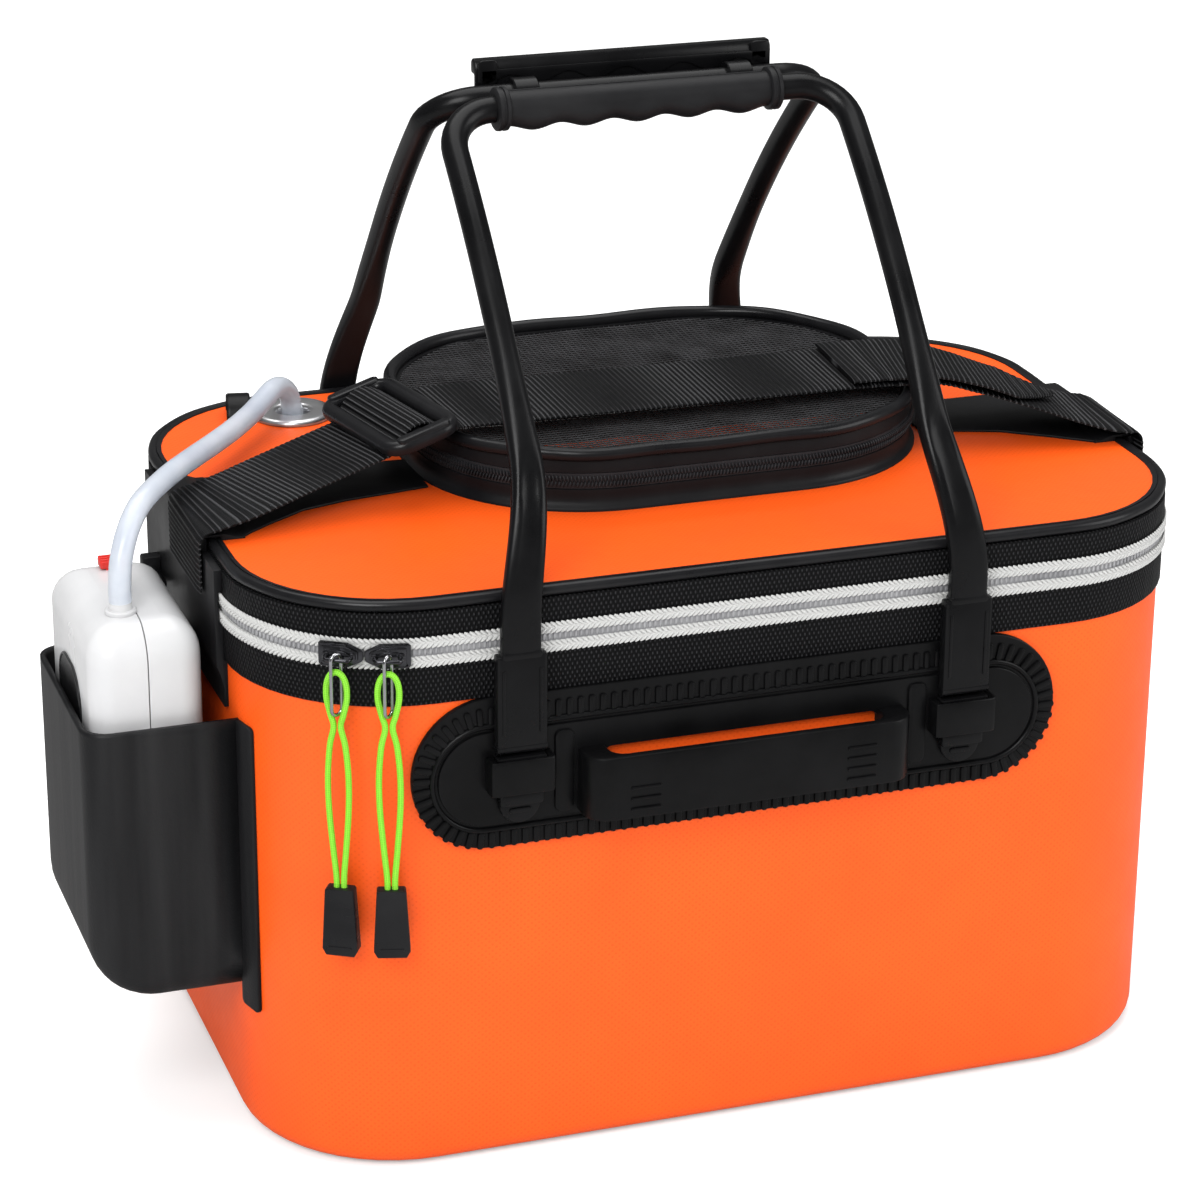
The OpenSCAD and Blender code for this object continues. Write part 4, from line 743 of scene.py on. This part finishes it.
for side in (-1, 1):
    collars.add(Form().spun([(4.8, -2.2), (7.2, -2.2), (7.7, -1.8), (7.8, -0.6), (7.3, -0.35), (7.3, 0.35),
        (7.8, 0.6), (7.7, 1.8), (7.2, 2.2), (4.8, 2.2)], 36), at(side * 50.75, ry=90))
Form().add(collars, at(-10, -TUBE_Y, TUBE_Z)).piece("grip_rings", grip_finish, "grip_rubber",
    ["grip_collars"], "front_handle")

# ---------------------------------------------------------------- grip cover
# Stiff flap with a rolled lip and finger waves, clipped on the back tube. On the real grip it folds forwards
# over both tubes; here it stands in one pose, with no hinge.
cover = Form()
profile = [(14.45, -5.4), (15, -6), (16.1, -6), (16.65, -5.4), (16.65, 6.2), (17.2, 6.6), (19.6, 6.6),
    (20.4, 7.2), (20.4, 10.8), (19.4, 11.9), (16.2, 11.9), (14.6, 10.2), (14.45, 8)]
cover.add(Form().solid(profile, -56, 56, 0.8), at(rx=90, rz=90))
waves = [((k / 60 - 0.5) * 108, -3.4 - 1.7 * cos(k / 60 * 10 * pi)) for k in range(61)]
cover.add(Form().solid([(54, 0.6), (-54, 0.6)] + waves, 0, 0.9, 0.4), at(0, 14.5, 8, rx=90))
for side in (-1, 1):
    cover.add(Form().solid(box_outline(7, 9, 1.6), 0, 1.0, 0.5), at(side * 51.5, 14.6, 7.6, rx=90))
Form().add(cover, at(MIDDLE_X, 0, TUBE_Z)).piece("cover", plastic, "grip_rubber", ["grip_cover"],
    "grip_cover")
clips = Form()
for side in (-1, 1):
    clips.add(Form().spun([(5.2, -4.5), (6.4, -4.5), (6.75, -4.1), (6.75, 4.1), (6.4, 4.5), (5.2, 4.5),
        (5.15, 0)], 32), at(side * 40.32, TUBE_Y, 0, ry=90))
    clips.add(Form().solid(box_outline(9, 8, 1), 0, 1.9, 0.3), at(side * 40.32, TUBE_Y + 6.85, 0, rx=90))
Form().add(clips, at(MIDDLE_X, 0, TUBE_Z)).piece("cover_clips", plastic, "grip_rubber", ["grip_cover_clips"],
    "grip_cover")

# ---------------------------------------------------------------- zipper sliders
# Two dark plated sliders at the front left corner. Each has a tapered nose, a raised back and a staple
# that its wire ring hangs from; it is bent to the corner's curve.
def bent(form, radius):
    """Bends a flat form, its Z outwards, round an upright cylinder; its middle then faces -Y."""
    form.points = [Vector(((radius + p.z) * sin(p.x / radius), -(radius + p.z) * cos(p.x / radius), p.y))
        for p in form.points]
    return form


SLIDERS = (("left", 31, 1), ("right", 16, -1))
STAPLE_Y = -66.9
zip_at = {name: at(*CORNER, SLIT_Z, rz=-angle) for name, angle, nose in SLIDERS}
for name, angle, nose in SLIDERS:
    def slider_outline(k):
        """Outline of the slider, k times its size."""
        points = [(-7.7, -3.6), (-6.9, -4.4), (2.6, -4.4), (7.2, -2.2), (7.7, -1.4)]
        points += [(x, -y) for x, y in points[::-1]]
        return [(x * k * nose, y * k) for x, y in points][::nose]
    made = Form().solid([(x * 0.999, y) for x, y in slider_outline(1)], 0, 1.1, 0.4)
    made.solid(slider_outline(0.80), 1.0, 2.1, 0.5, False)
    made.solid(slider_outline(0.46), 2.0, 2.8, 0.5, False)
    for side in (-1, 1):
        made.solid(box_outline(9, 1.1, 0.5, (-2.2 * nose, side * 3.75), 3), 1.0, 1.9, 0.4, False)
        made.solid(box_outline(2.2, 3.0, 0.8, (side * 4.4, 0), 3), 1.9, 3.2, 0.5, False)
    bent(made, 60.8)
    made.tube([(-4.4, -62.4, 0), (-4.4, -65.6, 0), (-4.1, -66.5, 0), (-3.4, STAPLE_Y, 0), (0, STAPLE_Y, 0),
        (3.4, STAPLE_Y, 0), (4.1, -66.5, 0), (4.4, -65.6, 0), (4.4, -62.4, 0)], 0.8, 10)
    Form().add(made, zip_at[name]).piece(f"{name}_zip_slider", gunmetal, "gunmetal", [f"{name}_slider"],
        f"{name}_slider")

# ---------------------------------------------------------------- pull rings
# Long ring of polished wire through each slider's staple.
wire = plated("steel wire", (0.62, 0.62, 0.64), (0.46, 0.46, 0.48), 0.14, 0.01)
for name, angle, nose in SLIDERS:
    ends = [(0, 2.2 * cos(a), 2.2 * sin(a) - (17.5 if sin(a) < -0.001 else 0)) for a in around(20)]
    ring = Form().tube(ends[:11] + [(0, -2.2, -6), (0, -2.2, -12), (0, -2.2, -17.5)] + ends[11:]
        + [(0, 2.2, -17.5), (0, 2.2, -12), (0, 2.2, -6)], 0.62, 12, start=(1, 0, 0), loop=True)
    Form().add(ring, zip_at[name] @ at(0, STAPLE_Y, 0, rz=-34)).piece(f"{name}_ring", wire, "steel_wire",
        [f"{name}_pull_ring"], f"{name}_pull")

# ---------------------------------------------------------------- pull cords
# Lime green braided cord, 2.2 mm across, doubled from the tab up and tied in a small loop in the ring.
cord_finish, tree, shader = material("lime cord", (0.30, 0.60, 0.07), 0.5, specular=0.35,
    Subsurface_Weight=0.1, Subsurface_Radius=(0.0006, 0.001, 0.0003))
split = cloth_of(tree)
turn = sum_of(tree, "MULTIPLY", split[0], 2 * pi / 1.3)
round_it = sum_of(tree, "MULTIPLY", split[1], 2 * pi / 1.73)
braid = sum_of(tree, "MULTIPLY", *(sum_of(tree, "COSINE", sum_of(tree, sign, turn, round_it))
    for sign in ("ADD", "SUBTRACT")))
# Painted shade and painted highlight: the braid is darker in the grooves between its strands and lighter on
# their crests
share = sum_of(tree, "MULTIPLY_ADD", braid, 0.35, 0.5)
feed(shader, Base_Color=mixed(tree, share, (0.13, 0.46, 0.015), (0.34, 0.88, 0.05)))
raise_by(tree, shader, share, 0.22)
PULL = [(-1.3, -86), (-1.35, -79.5), (-2.3, -69), (-3.4, -55), (-3.6, -42.5), (-2.7, -31), (-1.25, -24),
    (-2.3, -19.4), (-3.5, -13.8), (-3.4, -8.8), (-2.1, -5.4), (0, -4.2)]
for name, angle, nose in SLIDERS:
    line = curve_through([(x, 0, z) for x, z in PULL] + [(-x, 0, z) for x, z in PULL[-2::-1]], 6)
    pull = Form().tube(line, 1.08, 12, start=(0, 1, 0))
    Form().add(pull, zip_at[name] @ at(0, STAPLE_Y, 0)).piece(f"{name}_cord", cord_finish, "lime_cord",
        [f"{name}_pull_cord"], f"{name}_pull")

# ---------------------------------------------------------------- pull tabs
# Moulded black tabs with a sunk panel and a foot line; the cord's ends are moulded into them.
moulded_black = moulding("black moulding", (0.006, 0.006, 0.007), (0.012, 0.012, 0.013), 0.24, 0.36, 0.8,
    0.02, 0.28)
tab = Form()
edge = mitred([(-4.4, 0.0), (-5, -0.6), (-6.3, -22.9), (-5.0, -25.3), (5.0, -25.3), (6.3, -22.9), (5, -0.6),
    (4.4, 0.0)])
sunk = mitred([(-3.0, -3.2), (-3.7, -19.4), (3.7, -19.4), (3.0, -3.2)])
for turn in (1, -1):
    face = framed(edge, sunk, 0, 2.5)
    face.wrap(sunk, [(0, 2.5), (-0.15, 2.0), (-0.3, 1.85)], ends=True)
    face.solid(box_outline(8.4, 1.0, 0.4, (0, -22.2), 3), 2.4, 2.8, 0.3, False)
    tab.add(face, Matrix.Diagonal((1, 1, turn, 1)))
for name, angle, nose in SLIDERS:
    Form().add(tab, zip_at[name] @ at(0, STAPLE_Y, -83.5, rx=90)).piece(f"{name}_tab", moulded_black,
        "black_moulded", [f"{name}_pull_tab"], f"{name}_pull")

# ---------------------------------------------------------------- end patches
# Smooth black sheet welded over the tapes at both ends of the bucket, from the lid's piping down.
def across(outline, y0, y1, soft=0.4):
    """End-on outline, as (outwards from the end wall, up) pairs, run along the bucket's width."""
    return Form().add(Form().solid(outline, -y1, -y0, soft), at(BUCKET[0] / 2, rx=90))


flip = Matrix.Diagonal((-1, 1, 1, 1))
patch = across([(0, 160.4), (1.5, 160.4), (1.55, 168), (2.6, 172), (4.0, 176.4), (4.0, 211.6), (1.2, 211.6),
    (1.2, 203.2), (2.5, 203.2), (2.5, 191.8), (1.2, 191.8), (1.2, 178), (0, 178)], -54.5, 54.5)
Form().add(patch).add(patch, flip).piece("patches", satin_finish, "black_sheet", ["end_patches"])

# ---------------------------------------------------------------- strap beds
# Sheet under each end of the strap, from the patch over the piping and along the lid to the hatch.
bed = across([(1.8, 211.6), (4.0, 211.6), (4.0, 215.3), (3.2, 216.7), (1.5, 217.5), (-4.5, 217.5),
    (-6.6, 216.9), (-9, 216), (-12, 215.9), (-12, 215), (-3.4, 215), (-3.4, 216.4), (1.8, 216.4)], -36, 28)
beds = Form().add(bed).add(bed, flip)
beds.solid([(-164, 27), (-164, -36), (-160, -32), (-152, -26), (-137, -16), (-120, -11), (-100, -8),
    (-88, -6), (-88, 24)], 215, 216, 0.3)
beds.solid([(164, -36), (164, 27), (106, 27), (106, -5.5), (118, -8), (134, -13.5), (150, -25)], 215, 216,
    0.3)
beds.piece("beds", satin_finish, "black_sheet", ["strap_beds"])

# ---------------------------------------------------------------- strap webbing
# Ribbed black webbing, 48 mm wide, from one end of the bucket over the hatch to the other. Its ribs run
# across it.
def evenly(path, step):
    """Points at an even step along a line, each with its share of the way."""
    run = distances(path)
    count = max(2, round(run[-1] / step))
    found, i = [], 0
    for k in range(count + 1):
        s = run[-1] * k / count
        while i < len(path) - 2 and run[i + 1] < s:
            i += 1
        found.append((path[i].lerp(path[i + 1], min(1, (s - run[i]) / (run[i + 1] - run[i]))), k / count))
    return found


RIB = 2.1


def cosine(tree, distance, pitch):
    """Wave of this pitch along a distance."""
    return sum_of(tree, "COSINE", sum_of(tree, "MULTIPLY", distance, 2 * pi / pitch))


def strip(points, width, thickness, rise=0.3, taper=None, columns=12):
    """Flat webbing along a line, with ribs across it. taper gives its width's share along the way."""
    path = evenly(curve_through(points, 8), RIB * coarse / 6 if rise else 1.2)
    rows, s = [], 0.0
    for i, (p, share) in enumerate(path):
        behind, ahead = path[max(i - 1, 0)][0], path[min(i + 1, len(path) - 1)][0]
        s += (p - behind).length
        along = (ahead - behind).normalized()
        side = Vector((0, 1, 0))
        side = (side - along * side.dot(along)).normalized()
        up = along.cross(side)
        half = width / 2 * (taper(share) if taper else 1)
        swell = thickness / 2 - rise * (0.5 - 0.5 * cos(2 * pi * s / RIB))
        ring = []
        for face in (1, -1):
            for k in range(columns + 1):
                v = face * (1 - 2 * k / columns)
                edge = 0.45 if k in (0, columns) else 1.0
                ring.append(p + side * half * v + up * face * swell * edge)
        rows.append(ring)
    return Form().grid(rows, ring=True, ends=True)


webbing_finish, tree, shader = material("webbing", (0.003, 0.003, 0.0035), 0.5, specular=0.18)
split = cloth_of(tree)
out = use(tree, moulded, Grain_size=0.35, Mark_size=25.0)
ribs = cosine(tree, split[0], RIB)
twill = cosine(tree, sum_of(tree, "MULTIPLY_ADD", split[0], 1.1, split[1]), 0.9)
# Painted highlights: the crests of the ribs are coloured a lighter grey as the webbing's glints
back = put(tree, "MapRange", {"interpolation_type": "SMOOTHSTEP"}, Value=ribs, n1=0.55, n2=1.0).outputs[0]
share = sum_of(tree, "MULTIPLY", back, sum_of(tree, "MULTIPLY_ADD", out["Grain"], 1.1, -0.05))
feed(shader, Base_Color=mixed(tree, share, (0.003, 0.003, 0.0035), (0.11, 0.11, 0.115)))
feed(shader, Roughness=sum_of(tree, "MULTIPLY_ADD", out["Shade"], 0.15, 0.42))
raise_by(tree, shader, sum_of(tree, "MULTIPLY_ADD", twill, 0.35, ribs), 0.12)
EDGE_X, EDGE_Z, OVER_Z = 180.2, 219.3, 239.8
RIM_LEFT, RIM_RIGHT = -86.5, 103.5
LEAN = radians(13.4)
BUCKLE = (-99.5, 1.2, EDGE_Z + (EDGE_X - 5 - 99.5) * tan(LEAN) + 1.1)
WAY = EDGE_X - 5 - RIM_RIGHT
BUCKLE_TURN = 12
route = [(-EDGE_X, -16, 198), (-EDGE_X, -16, 209), (-EDGE_X, -16, 215), (0.8 - EDGE_X, -16, EDGE_Z - 1.6),
    (3 - EDGE_X, -15.9, EDGE_Z), (11 - EDGE_X, -15.1, EDGE_Z + 1.8)]
route += [(BUCKLE[0] + u, BUCKLE[1] + u * (0.215 - 0.0004 * u), BUCKLE[2] - 1.1 + u * tan(LEAN))
    for u in (-60, -45, -30, -15, 0, 14)]
route += [(RIM_LEFT + 14, 5.2, OVER_Z + 1.6), (RIM_LEFT + 40, 5.9, OVER_Z + 1.2), (8.5, 6, OVER_Z + 0.8),
    (RIM_RIGHT - 40, 5, OVER_Z + 0.9), (RIM_RIGHT - 14, 3, OVER_Z + 1),
    (RIM_RIGHT + 0.04 * WAY, -0.6, OVER_Z + 0.3), (RIM_RIGHT + 0.25 * WAY, -5, OVER_Z - 3.5),
    (RIM_RIGHT + 0.5 * WAY, -10.2, OVER_Z - 9.2), (RIM_RIGHT + 0.75 * WAY, -14.5, EDGE_Z + 5),
    (RIM_RIGHT + 0.92 * WAY, -16.7, EDGE_Z + 1.4), (EDGE_X - 3, -17.2, EDGE_Z),
    (EDGE_X - 0.8, -17.4, EDGE_Z - 1.6), (EDGE_X, -17.4, 215), (EDGE_X, -17.4, 209), (EDGE_X, -17.4, 198)]
strip(route, 48, 1.8, rise=0.5).piece("webbing", webbing_finish, "black_webbing", ["strap_webbing"], sharp=60)

# ---------------------------------------------------------------- strap tail
# The webbing's folded end, lying on it at the right and cut to a point.
end = [(RIM_RIGHT - 30, 4.4, OVER_Z + 3.2), (RIM_RIGHT - 14, 3, OVER_Z + 3.3),
    (RIM_RIGHT + 0.04 * WAY, -0.6, OVER_Z + 2.7), (RIM_RIGHT + 0.25 * WAY, -5, OVER_Z - 0.8),
    (RIM_RIGHT + 0.47 * WAY, -9.6, OVER_Z - 6.2), (RIM_RIGHT + 0.61 * WAY, -12.2, OVER_Z - 9.4),
    (RIM_RIGHT + 0.72 * WAY, -14, OVER_Z - 11.4)]
strip(end, 48, 1.8, taper=lambda share: min(1, 0.08 + (1 - share) * 4.2)).piece("tail", webbing_finish,
    "black_webbing", ["strap_tail"], sharp=60)

# ---------------------------------------------------------------- strap buckle
# Moulded three-bar buckle, rounded all over, with a raised rail along each side.
buckle = Form().wrap(course(31, 60, 9, steps=12, straight=4), [(0, 2.2), (-0.5, 0.8), (-1.8, 0.05),
    (-4.4, 0.05), (-5.6, 0.7), (-6, 2), (-6, 3.6), (-5.5, 4.8), (-4.2, 5.5), (-2, 5.5), (-0.6, 4.8),
    (0, 3.6)], loop=True)
buckle.solid(box_outline(5, 50, 1, (0, 0)), 0.3, 4.9, 1.4)
for side in (-1, 1):
    buckle.solid(box_outline(21, 4.4, 2, (0, side * 27)), 4.6, 6.4, 0.8, False)
on_strap = at(*BUCKLE, ry=-degrees(LEAN), rz=BUCKLE_TURN)
Form().add(buckle, on_strap).piece("buckle", moulded_black, "black_moulded", ["strap_buckle"])

# ---------------------------------------------------------------- strap fold
# The webbing's turn over the buckle's middle bar.
fold = strip([(-11.5, 0, 0.4), (-9, 0, 1.4), (-6.4, 0, 4.0), (-3.6, 0, 6.0), (0, 0, 6.7), (3.6, 0, 6.0),
    (6.4, 0, 4.0), (9, 0, 1.4), (11.5, 0, 0.4)], 46, 1.6)
Form().add(fold, on_strap).piece("fold", webbing_finish, "black_webbing", ["strap_fold"], sharp=60)

# ---------------------------------------------------------------- strap pins and their loops
# A short steel pin at each end, held on its patch by a sewn loop.
def soften(obj, width):
    """Rounds an object's edges."""
    bevel = obj.modifiers.new("edges", "BEVEL")
    bevel.width = width * mm
    bevel.segments = 2
    bevel.limit_method = "ANGLE"
    bevel.angle_limit = radians(35)
    bevel.harden_normals = True


def dressed(node, finish, width=0.4):
    """Shows one of the model's own solids, with its material and softened edges."""
    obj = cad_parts[node]
    obj.data.materials.clear()
    obj.data.materials.append(finish)
    soften(obj, width)
    return obj


dressed("strap_pins", wire)
sewn = across([(4.0, 174.8), (10, 174.8), (10.5, 175.6), (10.5, 184.4), (10, 185.2), (4.0, 185.2)], 32, 38,
    0.5)
Form().add(sewn).add(sewn, flip).piece("pin_loop", satin_finish, "black_sheet", ["pin_loops"])

# ---------------------------------------------------------------- pocket
# Side pocket of smooth black sheet, 2 mm thick, open at the top. It is round along its lower edges and
# is welded to the bucket by a flange on each side.
pocket_finish, tree, shader = material("pocket sheet", (0.010, 0.010, 0.011), 0.45, specular=0.22)
out = use(tree, moulded, Grain_size=1.0, Mark_size=60.0)
# Painted reflection: soft upright bands of lighter grey stand in for the lamps' sheen on the glossy sheet;
# the same bands also ripple its relief
upright = put(tree, "TexNoise", Detail=3.0, Scale=1.0, Vector=put(tree, "Mapping",
    Vector=put(tree, "TexCoord").outputs["Object"], Scale=(70, 70, 5)).outputs[0]).outputs[0]
share = put(tree, "MapRange", Value=upright, n1=0.4, n2=0.75).outputs[0]
feed(shader, Base_Color=mixed(tree, share, (0.008, 0.008, 0.009), (0.022, 0.022, 0.023)))
raise_by(tree, shader, sum_of(tree, "MULTIPLY_ADD", upright, 3.0, out["Height"]), 0.10)


def pocket_line(q):
    """The pocket's front view, from its mouth down and round to the bucket, q inside its face."""
    line = [(-228.5 + q, z) for z in (160, 158.5, 150, 135, 120, 105, 92)]
    line += [(-204.5 - (24 - q) * cos(a), 79 - (24 - q) * sin(a)) for a in (pi / 20 * k for k in range(11))]
    return line + [(-196, 55 + q), (-186, 55 + q), (-175.2, 55 + q)]


rows = []
for y, direction in ((-55.5, -1), (11.5, 1)):
    part = []
    for a in (pi / 12 * k for k in range(7)):
        part.append([(x, y + direction * 10 * sin(a), z) for x, z in pocket_line(10 * (1 - cos(a)))])
    flat = part[-1]
    down = 95 / (len(flat) - 1)
    for share in (0.35, 0.7, 1.0):
        part.append([(x + (-174.2 - x) * share, y, z + (160 - down * i - z) * share)
            for i, (x, y, z) in enumerate(flat)])
    rows += part[::-1] if direction < 0 else part
pocket = Form().grid(rows).piece("pocket_sheet", pocket_finish, "black_sheet", ["pocket"])
wall = pocket.modifiers.new("wall", "SOLIDIFY")
wall.thickness, wall.offset = 2 * mm, -1
flange = bent(Form().solid(box_outline(12, 110, 2), -0.1, 1.5, 0.4), 58)
rims = Form().add(flange, at(*CORNER, 105, rz=-75.4))
rims.add(Form().solid(box_outline(11, 110, 2), 0, 1.5, 0.4), at(-175, 25, 105, rx=90, rz=-90))
rims.piece("pocket_flanges", pocket_finish, "black_sheet")

# ---------------------------------------------------------------- pump case
# Glossy white case in an outer and an inner half, with a separate battery door, all 2 mm thick and
# rounded all over. They meet at fine seams.
white_finish, tree, shader, out = shaded("white case", (0.62, 0.62, 0.63), 0.22, (1.2, 35.0),
    ((0.60, 0.60, 0.61), (0.65, 0.65, 0.655)), "Shade", 0.02, specular=0.35, Coat_Weight=0.2)
feed(shader, Roughness=sum_of(tree, "MULTIPLY_ADD", out["Shade"], 0.1, 0.18))
PUMP_X, DOOR_Z, SEAM = -204, 126, 0.15
heights = [0, 0.25, 0.8, 1.8, 3.2, 5, 7.2, 9.6, 12, 14, 24, 40, 55, 66.5]
levels = [62 + h for h in heights] + [195 - h for h in heights[-2::-1]]
case_rows = []
for z in levels:
    h = min(z - 62, 195 - z)
    in_x = 12 - sqrt(144 - max(0, 12 - h) ** 2)
    in_y = 14 - sqrt(196 - max(0, 14 - h) ** 2)
    case_rows.append([(x, y, z) for x, y in box_outline(40 - 2 * in_x, 76 - 2 * in_y,
        max(0.8, 9 - in_x * 0.7), (PUMP_X, -22), 6)])
# A cut is a point and the direction of what it takes away
outer_cut, inner_cut = ((PUMP_X - SEAM, 0, 0), (1, 0, 0)), ((PUMP_X + SEAM, 0, 0), (-1, 0, 0))
for name, node, cuts in (
        ("pump_outer", "pump_outer_case", (outer_cut, ((0, 0, DOOR_Z + SEAM), (0, 0, -1)))),
        ("pump_door", "battery_door", (outer_cut, ((0, 0, DOOR_Z - SEAM), (0, 0, 1)))),
        ("pump_inner", "pump_inner_case", (inner_cut,))):
    case = Form().grid(case_rows, ring=True, ends=True).piece(name, white_finish, "white_case", [node],
        sharp=70)
    made = bmesh.new()
    made.from_mesh(case.data)
    for where, away in cuts:
        bmesh.ops.bisect_plane(made, geom=made.verts[:] + made.edges[:] + made.faces[:],
            plane_co=Vector(where) * mm, plane_no=away, clear_outer=True)
    made.to_mesh(case.data)
    made.free()
    shell = case.modifiers.new("wall", "SOLIDIFY")
    shell.thickness, shell.offset = 2 * mm, -1
    soften(case, 0.35)

# ---------------------------------------------------------------- pump badge
# Bare black plates in raised frames where the outer half carries its labels.
badge_finish = moulding("bare label", (0.010, 0.010, 0.011), (0.016, 0.016, 0.017), 0.2, 0.3, 0.8, 0.01, 0.5)
badges = Form()
for width, height, radius, z in ((36, 26, 12.9, 159), (46, 40, 3, 100)):
    frame_line = course(width, height, radius, steps=10, straight=2)
    badges.add(Form().wrap(frame_line, [(0, 0), (0, 0.6), (-0.3, 0.85), (-0.9, 0.85), (-1.2, 0.5),
        (-1.6, 0.45)], ends=True), at(-224, -22, z, rx=90, rz=-90))
badges.piece("badges", badge_finish, "black_label", ["pump_badge"])

# ---------------------------------------------------------------- pump fittings
# Outlet with its barbs on top, a sliding red switch, a bail to hang the pump by, a latch on the front
# seam and two hinge knuckles behind.
Form().spun([(5.5, 0), (5.5, 1.1), (5.1, 1.5), (4.2, 1.5), (4.0, 1.9), (4.0, 4.0), (3.0, 4.0)],
    32).piece("outlet", white_finish, "white_case", ["pump_outlet"])
bpy.data.objects["outlet"].data.transform(Matrix.Translation(Vector((-209, -41, 195)) * mm))
red_finish = moulding("red switch", (0.60, 0.018, 0.012), (0.70, 0.03, 0.02), 0.25, 0.35, 0.8, 0.02, 0.5)
switch = Form().solid(box_outline(7, 6, 1, (0, -0.5)), 0.4, 3.3, 0.5)
for y in (-2.5, -0.5, 1.5):
    switch.solid(box_outline(6.8, 0.8, 0.35, (0, y), 2), 3.2, 4.0, 0.3, False)
switch.solid(box_outline(3, 6, 0.4, (0, -0.5), 2), -3.5, 0.6, 0.3)
Form().add(switch, at(PUMP_X, 3, 195)).piece("switch", red_finish, "red_switch", ["pump_switch"],
    "pump_switch")
bail = Form().tube([(0, 6 * cos(pi / 16 * k), 6 * sin(pi / 16 * k) - (0.4 if k in (0, 16) else 0))
    for k in range(17)], 1.3, 14, start=(1, 0, 0))
Form().add(bail, at(PUMP_X, -20, 195)).piece("bail", white_finish, "white_case", ["pump_ring"])
latch = Form().add(Form().solid(box_outline(8, 34, 1.4), 0, 1.7, 0.5), at(PUMP_X, -60, 141, rx=90))
latch.add(Form().solid(box_outline(5, 27, 1.0), 1.6, 2.0, 0.3, False), at(PUMP_X, -60, 141, rx=90))
for z in (92, 162):
    latch.add(Form().solid(box_outline(4, 16, 0.5), 0, 1.6, 0.3), at(PUMP_X, 16, z, rx=90, rz=180))
    latch.add(Form().tube([(0, 0, -8), (0, 0, 8)], 1.5, 16, start=(1, 0, 0)), at(PUMP_X, 17.6, z))
latch.piece("latches", white_finish, "white_case", ["pump_latches"])

# ---------------------------------------------------------------- batteries and motor
# Two foil-wrapped cells under the shelf, and the motor with its crank and rubber bellows on it.
dressed("batteries", plated("battery foil", (0.20, 0.21, 0.23), (0.28, 0.29, 0.31), 0.32),
    0.8)
dressed("pump_motor", plated("motor metal", (0.50, 0.50, 0.52), (0.62, 0.62, 0.64), 0.3), 0.6)

# ---------------------------------------------------------------- grommet
# Polished steel eyelet pressed through the lid, with its washer below and a curled rubber tongue beside
# it that closes it.
polished = plated("polished ring", (0.94, 0.94, 0.95), (0.84, 0.84, 0.85), 0.30, 0.008)
eyelet = Form().spun([(6.5, -2.5), (6.5, 1.0), (6.8, 1.8), (7.6, 2.3), (8.6, 2.4), (13.4, 2.4),
    (14.6, 2.15), (15.3, 1.5), (15.5, 0.8), (15.3, 0.2), (14.8, 0), (7.5, 0), (7.5, -2.5)], 64, hole=True)
Form().add(eyelet, at(*GROMMET_AT, 215)).piece("eyelet", polished, "polished_ring", ["grommet"], sharp=70)
dressed("grommet_washer", polished, 0.2)
tongue = strip([(8.2 * cos(a), 4.5, 8.2 * sin(a)) for a in (pi / 10 * k for k in range(10, -1, -1))], 9,
    1.6, rise=0)
tongue.solid(box_outline(6, 9, 1.2, (10.4, 4.5)), 0, 1.6, 0.5)
Form().add(tongue, at(*GROMMET_AT, 215, rz=78) @ at(0, 16.1, 0)).piece("tongue", rubber, "black_moulded",
    ["grommet_cap"], sharp=50)

# ---------------------------------------------------------------- air stone
# Sintered grey stone, rough and porous, on the hose's end.
stone_finish = shaded("air stone", (0.30, 0.33, 0.36), 0.85, (0.9, 4.0),
    ((0.16, 0.18, 0.20), (0.42, 0.45, 0.48)), "Grain", 0.6, "Grain")[0]
stone = Form().spun([(0.4, 0), (3, 0), (3, 4), (5.6, 4.4), (7.2, 5.4), (8, 7.4), (8, 20), (8, 35.6),
    (7.5, 37.8), (6, 39), (0.4, 39)], 32)
Form().add(stone, at(-68, 88, 11, ry=90)).piece("stone", stone_finish, "grey_stone", ["air_stone"])

# ---------------------------------------------------------------- light
# A pale floor and soft lamps: a key from the upper left in front, a fill from the right, and a wide
# panel above. The backdrop is white to the camera and through clear pieces. It is dim in reflections,
# where the floor is darker too, so that black pieces stay black.
world = bpy.data.worlds.new("backdrop")
bpy.context.scene.world = world
world.use_nodes = True
tree = world.node_tree
tree.nodes.clear()
rays = put(tree, "LightPath").outputs
seen = sum_of(tree, "MAXIMUM", rays["Is Camera Ray"], rays["Is Transmission Ray"])
level = sum_of(tree, "MULTIPLY_ADD", rays["Is Glossy Ray"], -0.58, 0.70)
level = put(tree, "Mix", n0=seen, n2=level, n3=1.0).outputs[0]
white = put(tree, "Background", Color=(1, 1, 1, 1), Strength=level)
tree.links.new(white.outputs[0], put(tree, "OutputWorld").inputs[0])


def lamp(name, power, size, where):
    """Square soft lamp that faces the part."""
    light = bpy.data.lights.new(name, "AREA")
    light.energy, light.size = power, size
    obj = bpy.data.objects.new(name, light)
    bpy.context.scene.collection.objects.link(obj)
    obj.location = where
    obj.rotation_euler = (Vector(where) - Vector((0, 0, 0.12))).to_track_quat("Z", "Y").to_euler()


lamp("key", 20, 0.9, (-0.9, -1.2, 1.3))
lamp("fill", 9, 1.0, (1.3, -0.9, 0.8))
lamp("top", 16, 1.4, (0.0, 0.3, 1.6))

floor_finish, tree, shader = material("floor", (0.92, 0.92, 0.92), 0.9, specular=0.0,
    Emission_Color=(1, 1, 1, 1))
rays = put(tree, "LightPath").outputs
feed(shader, Base_Color=mixed(tree, rays["Is Glossy Ray"], (0.92, 0.92, 0.92), (0.35, 0.35, 0.35)))
feed(shader, Emission_Strength=sum_of(tree, "MULTIPLY", rays["Is Camera Ray"], 0.3))
bpy.ops.mesh.primitive_plane_add(size=6, location=(0, 0, -0.0006))
floor = bpy.context.object
floor.name = "floor"
floor.data.materials.append(floor_finish)
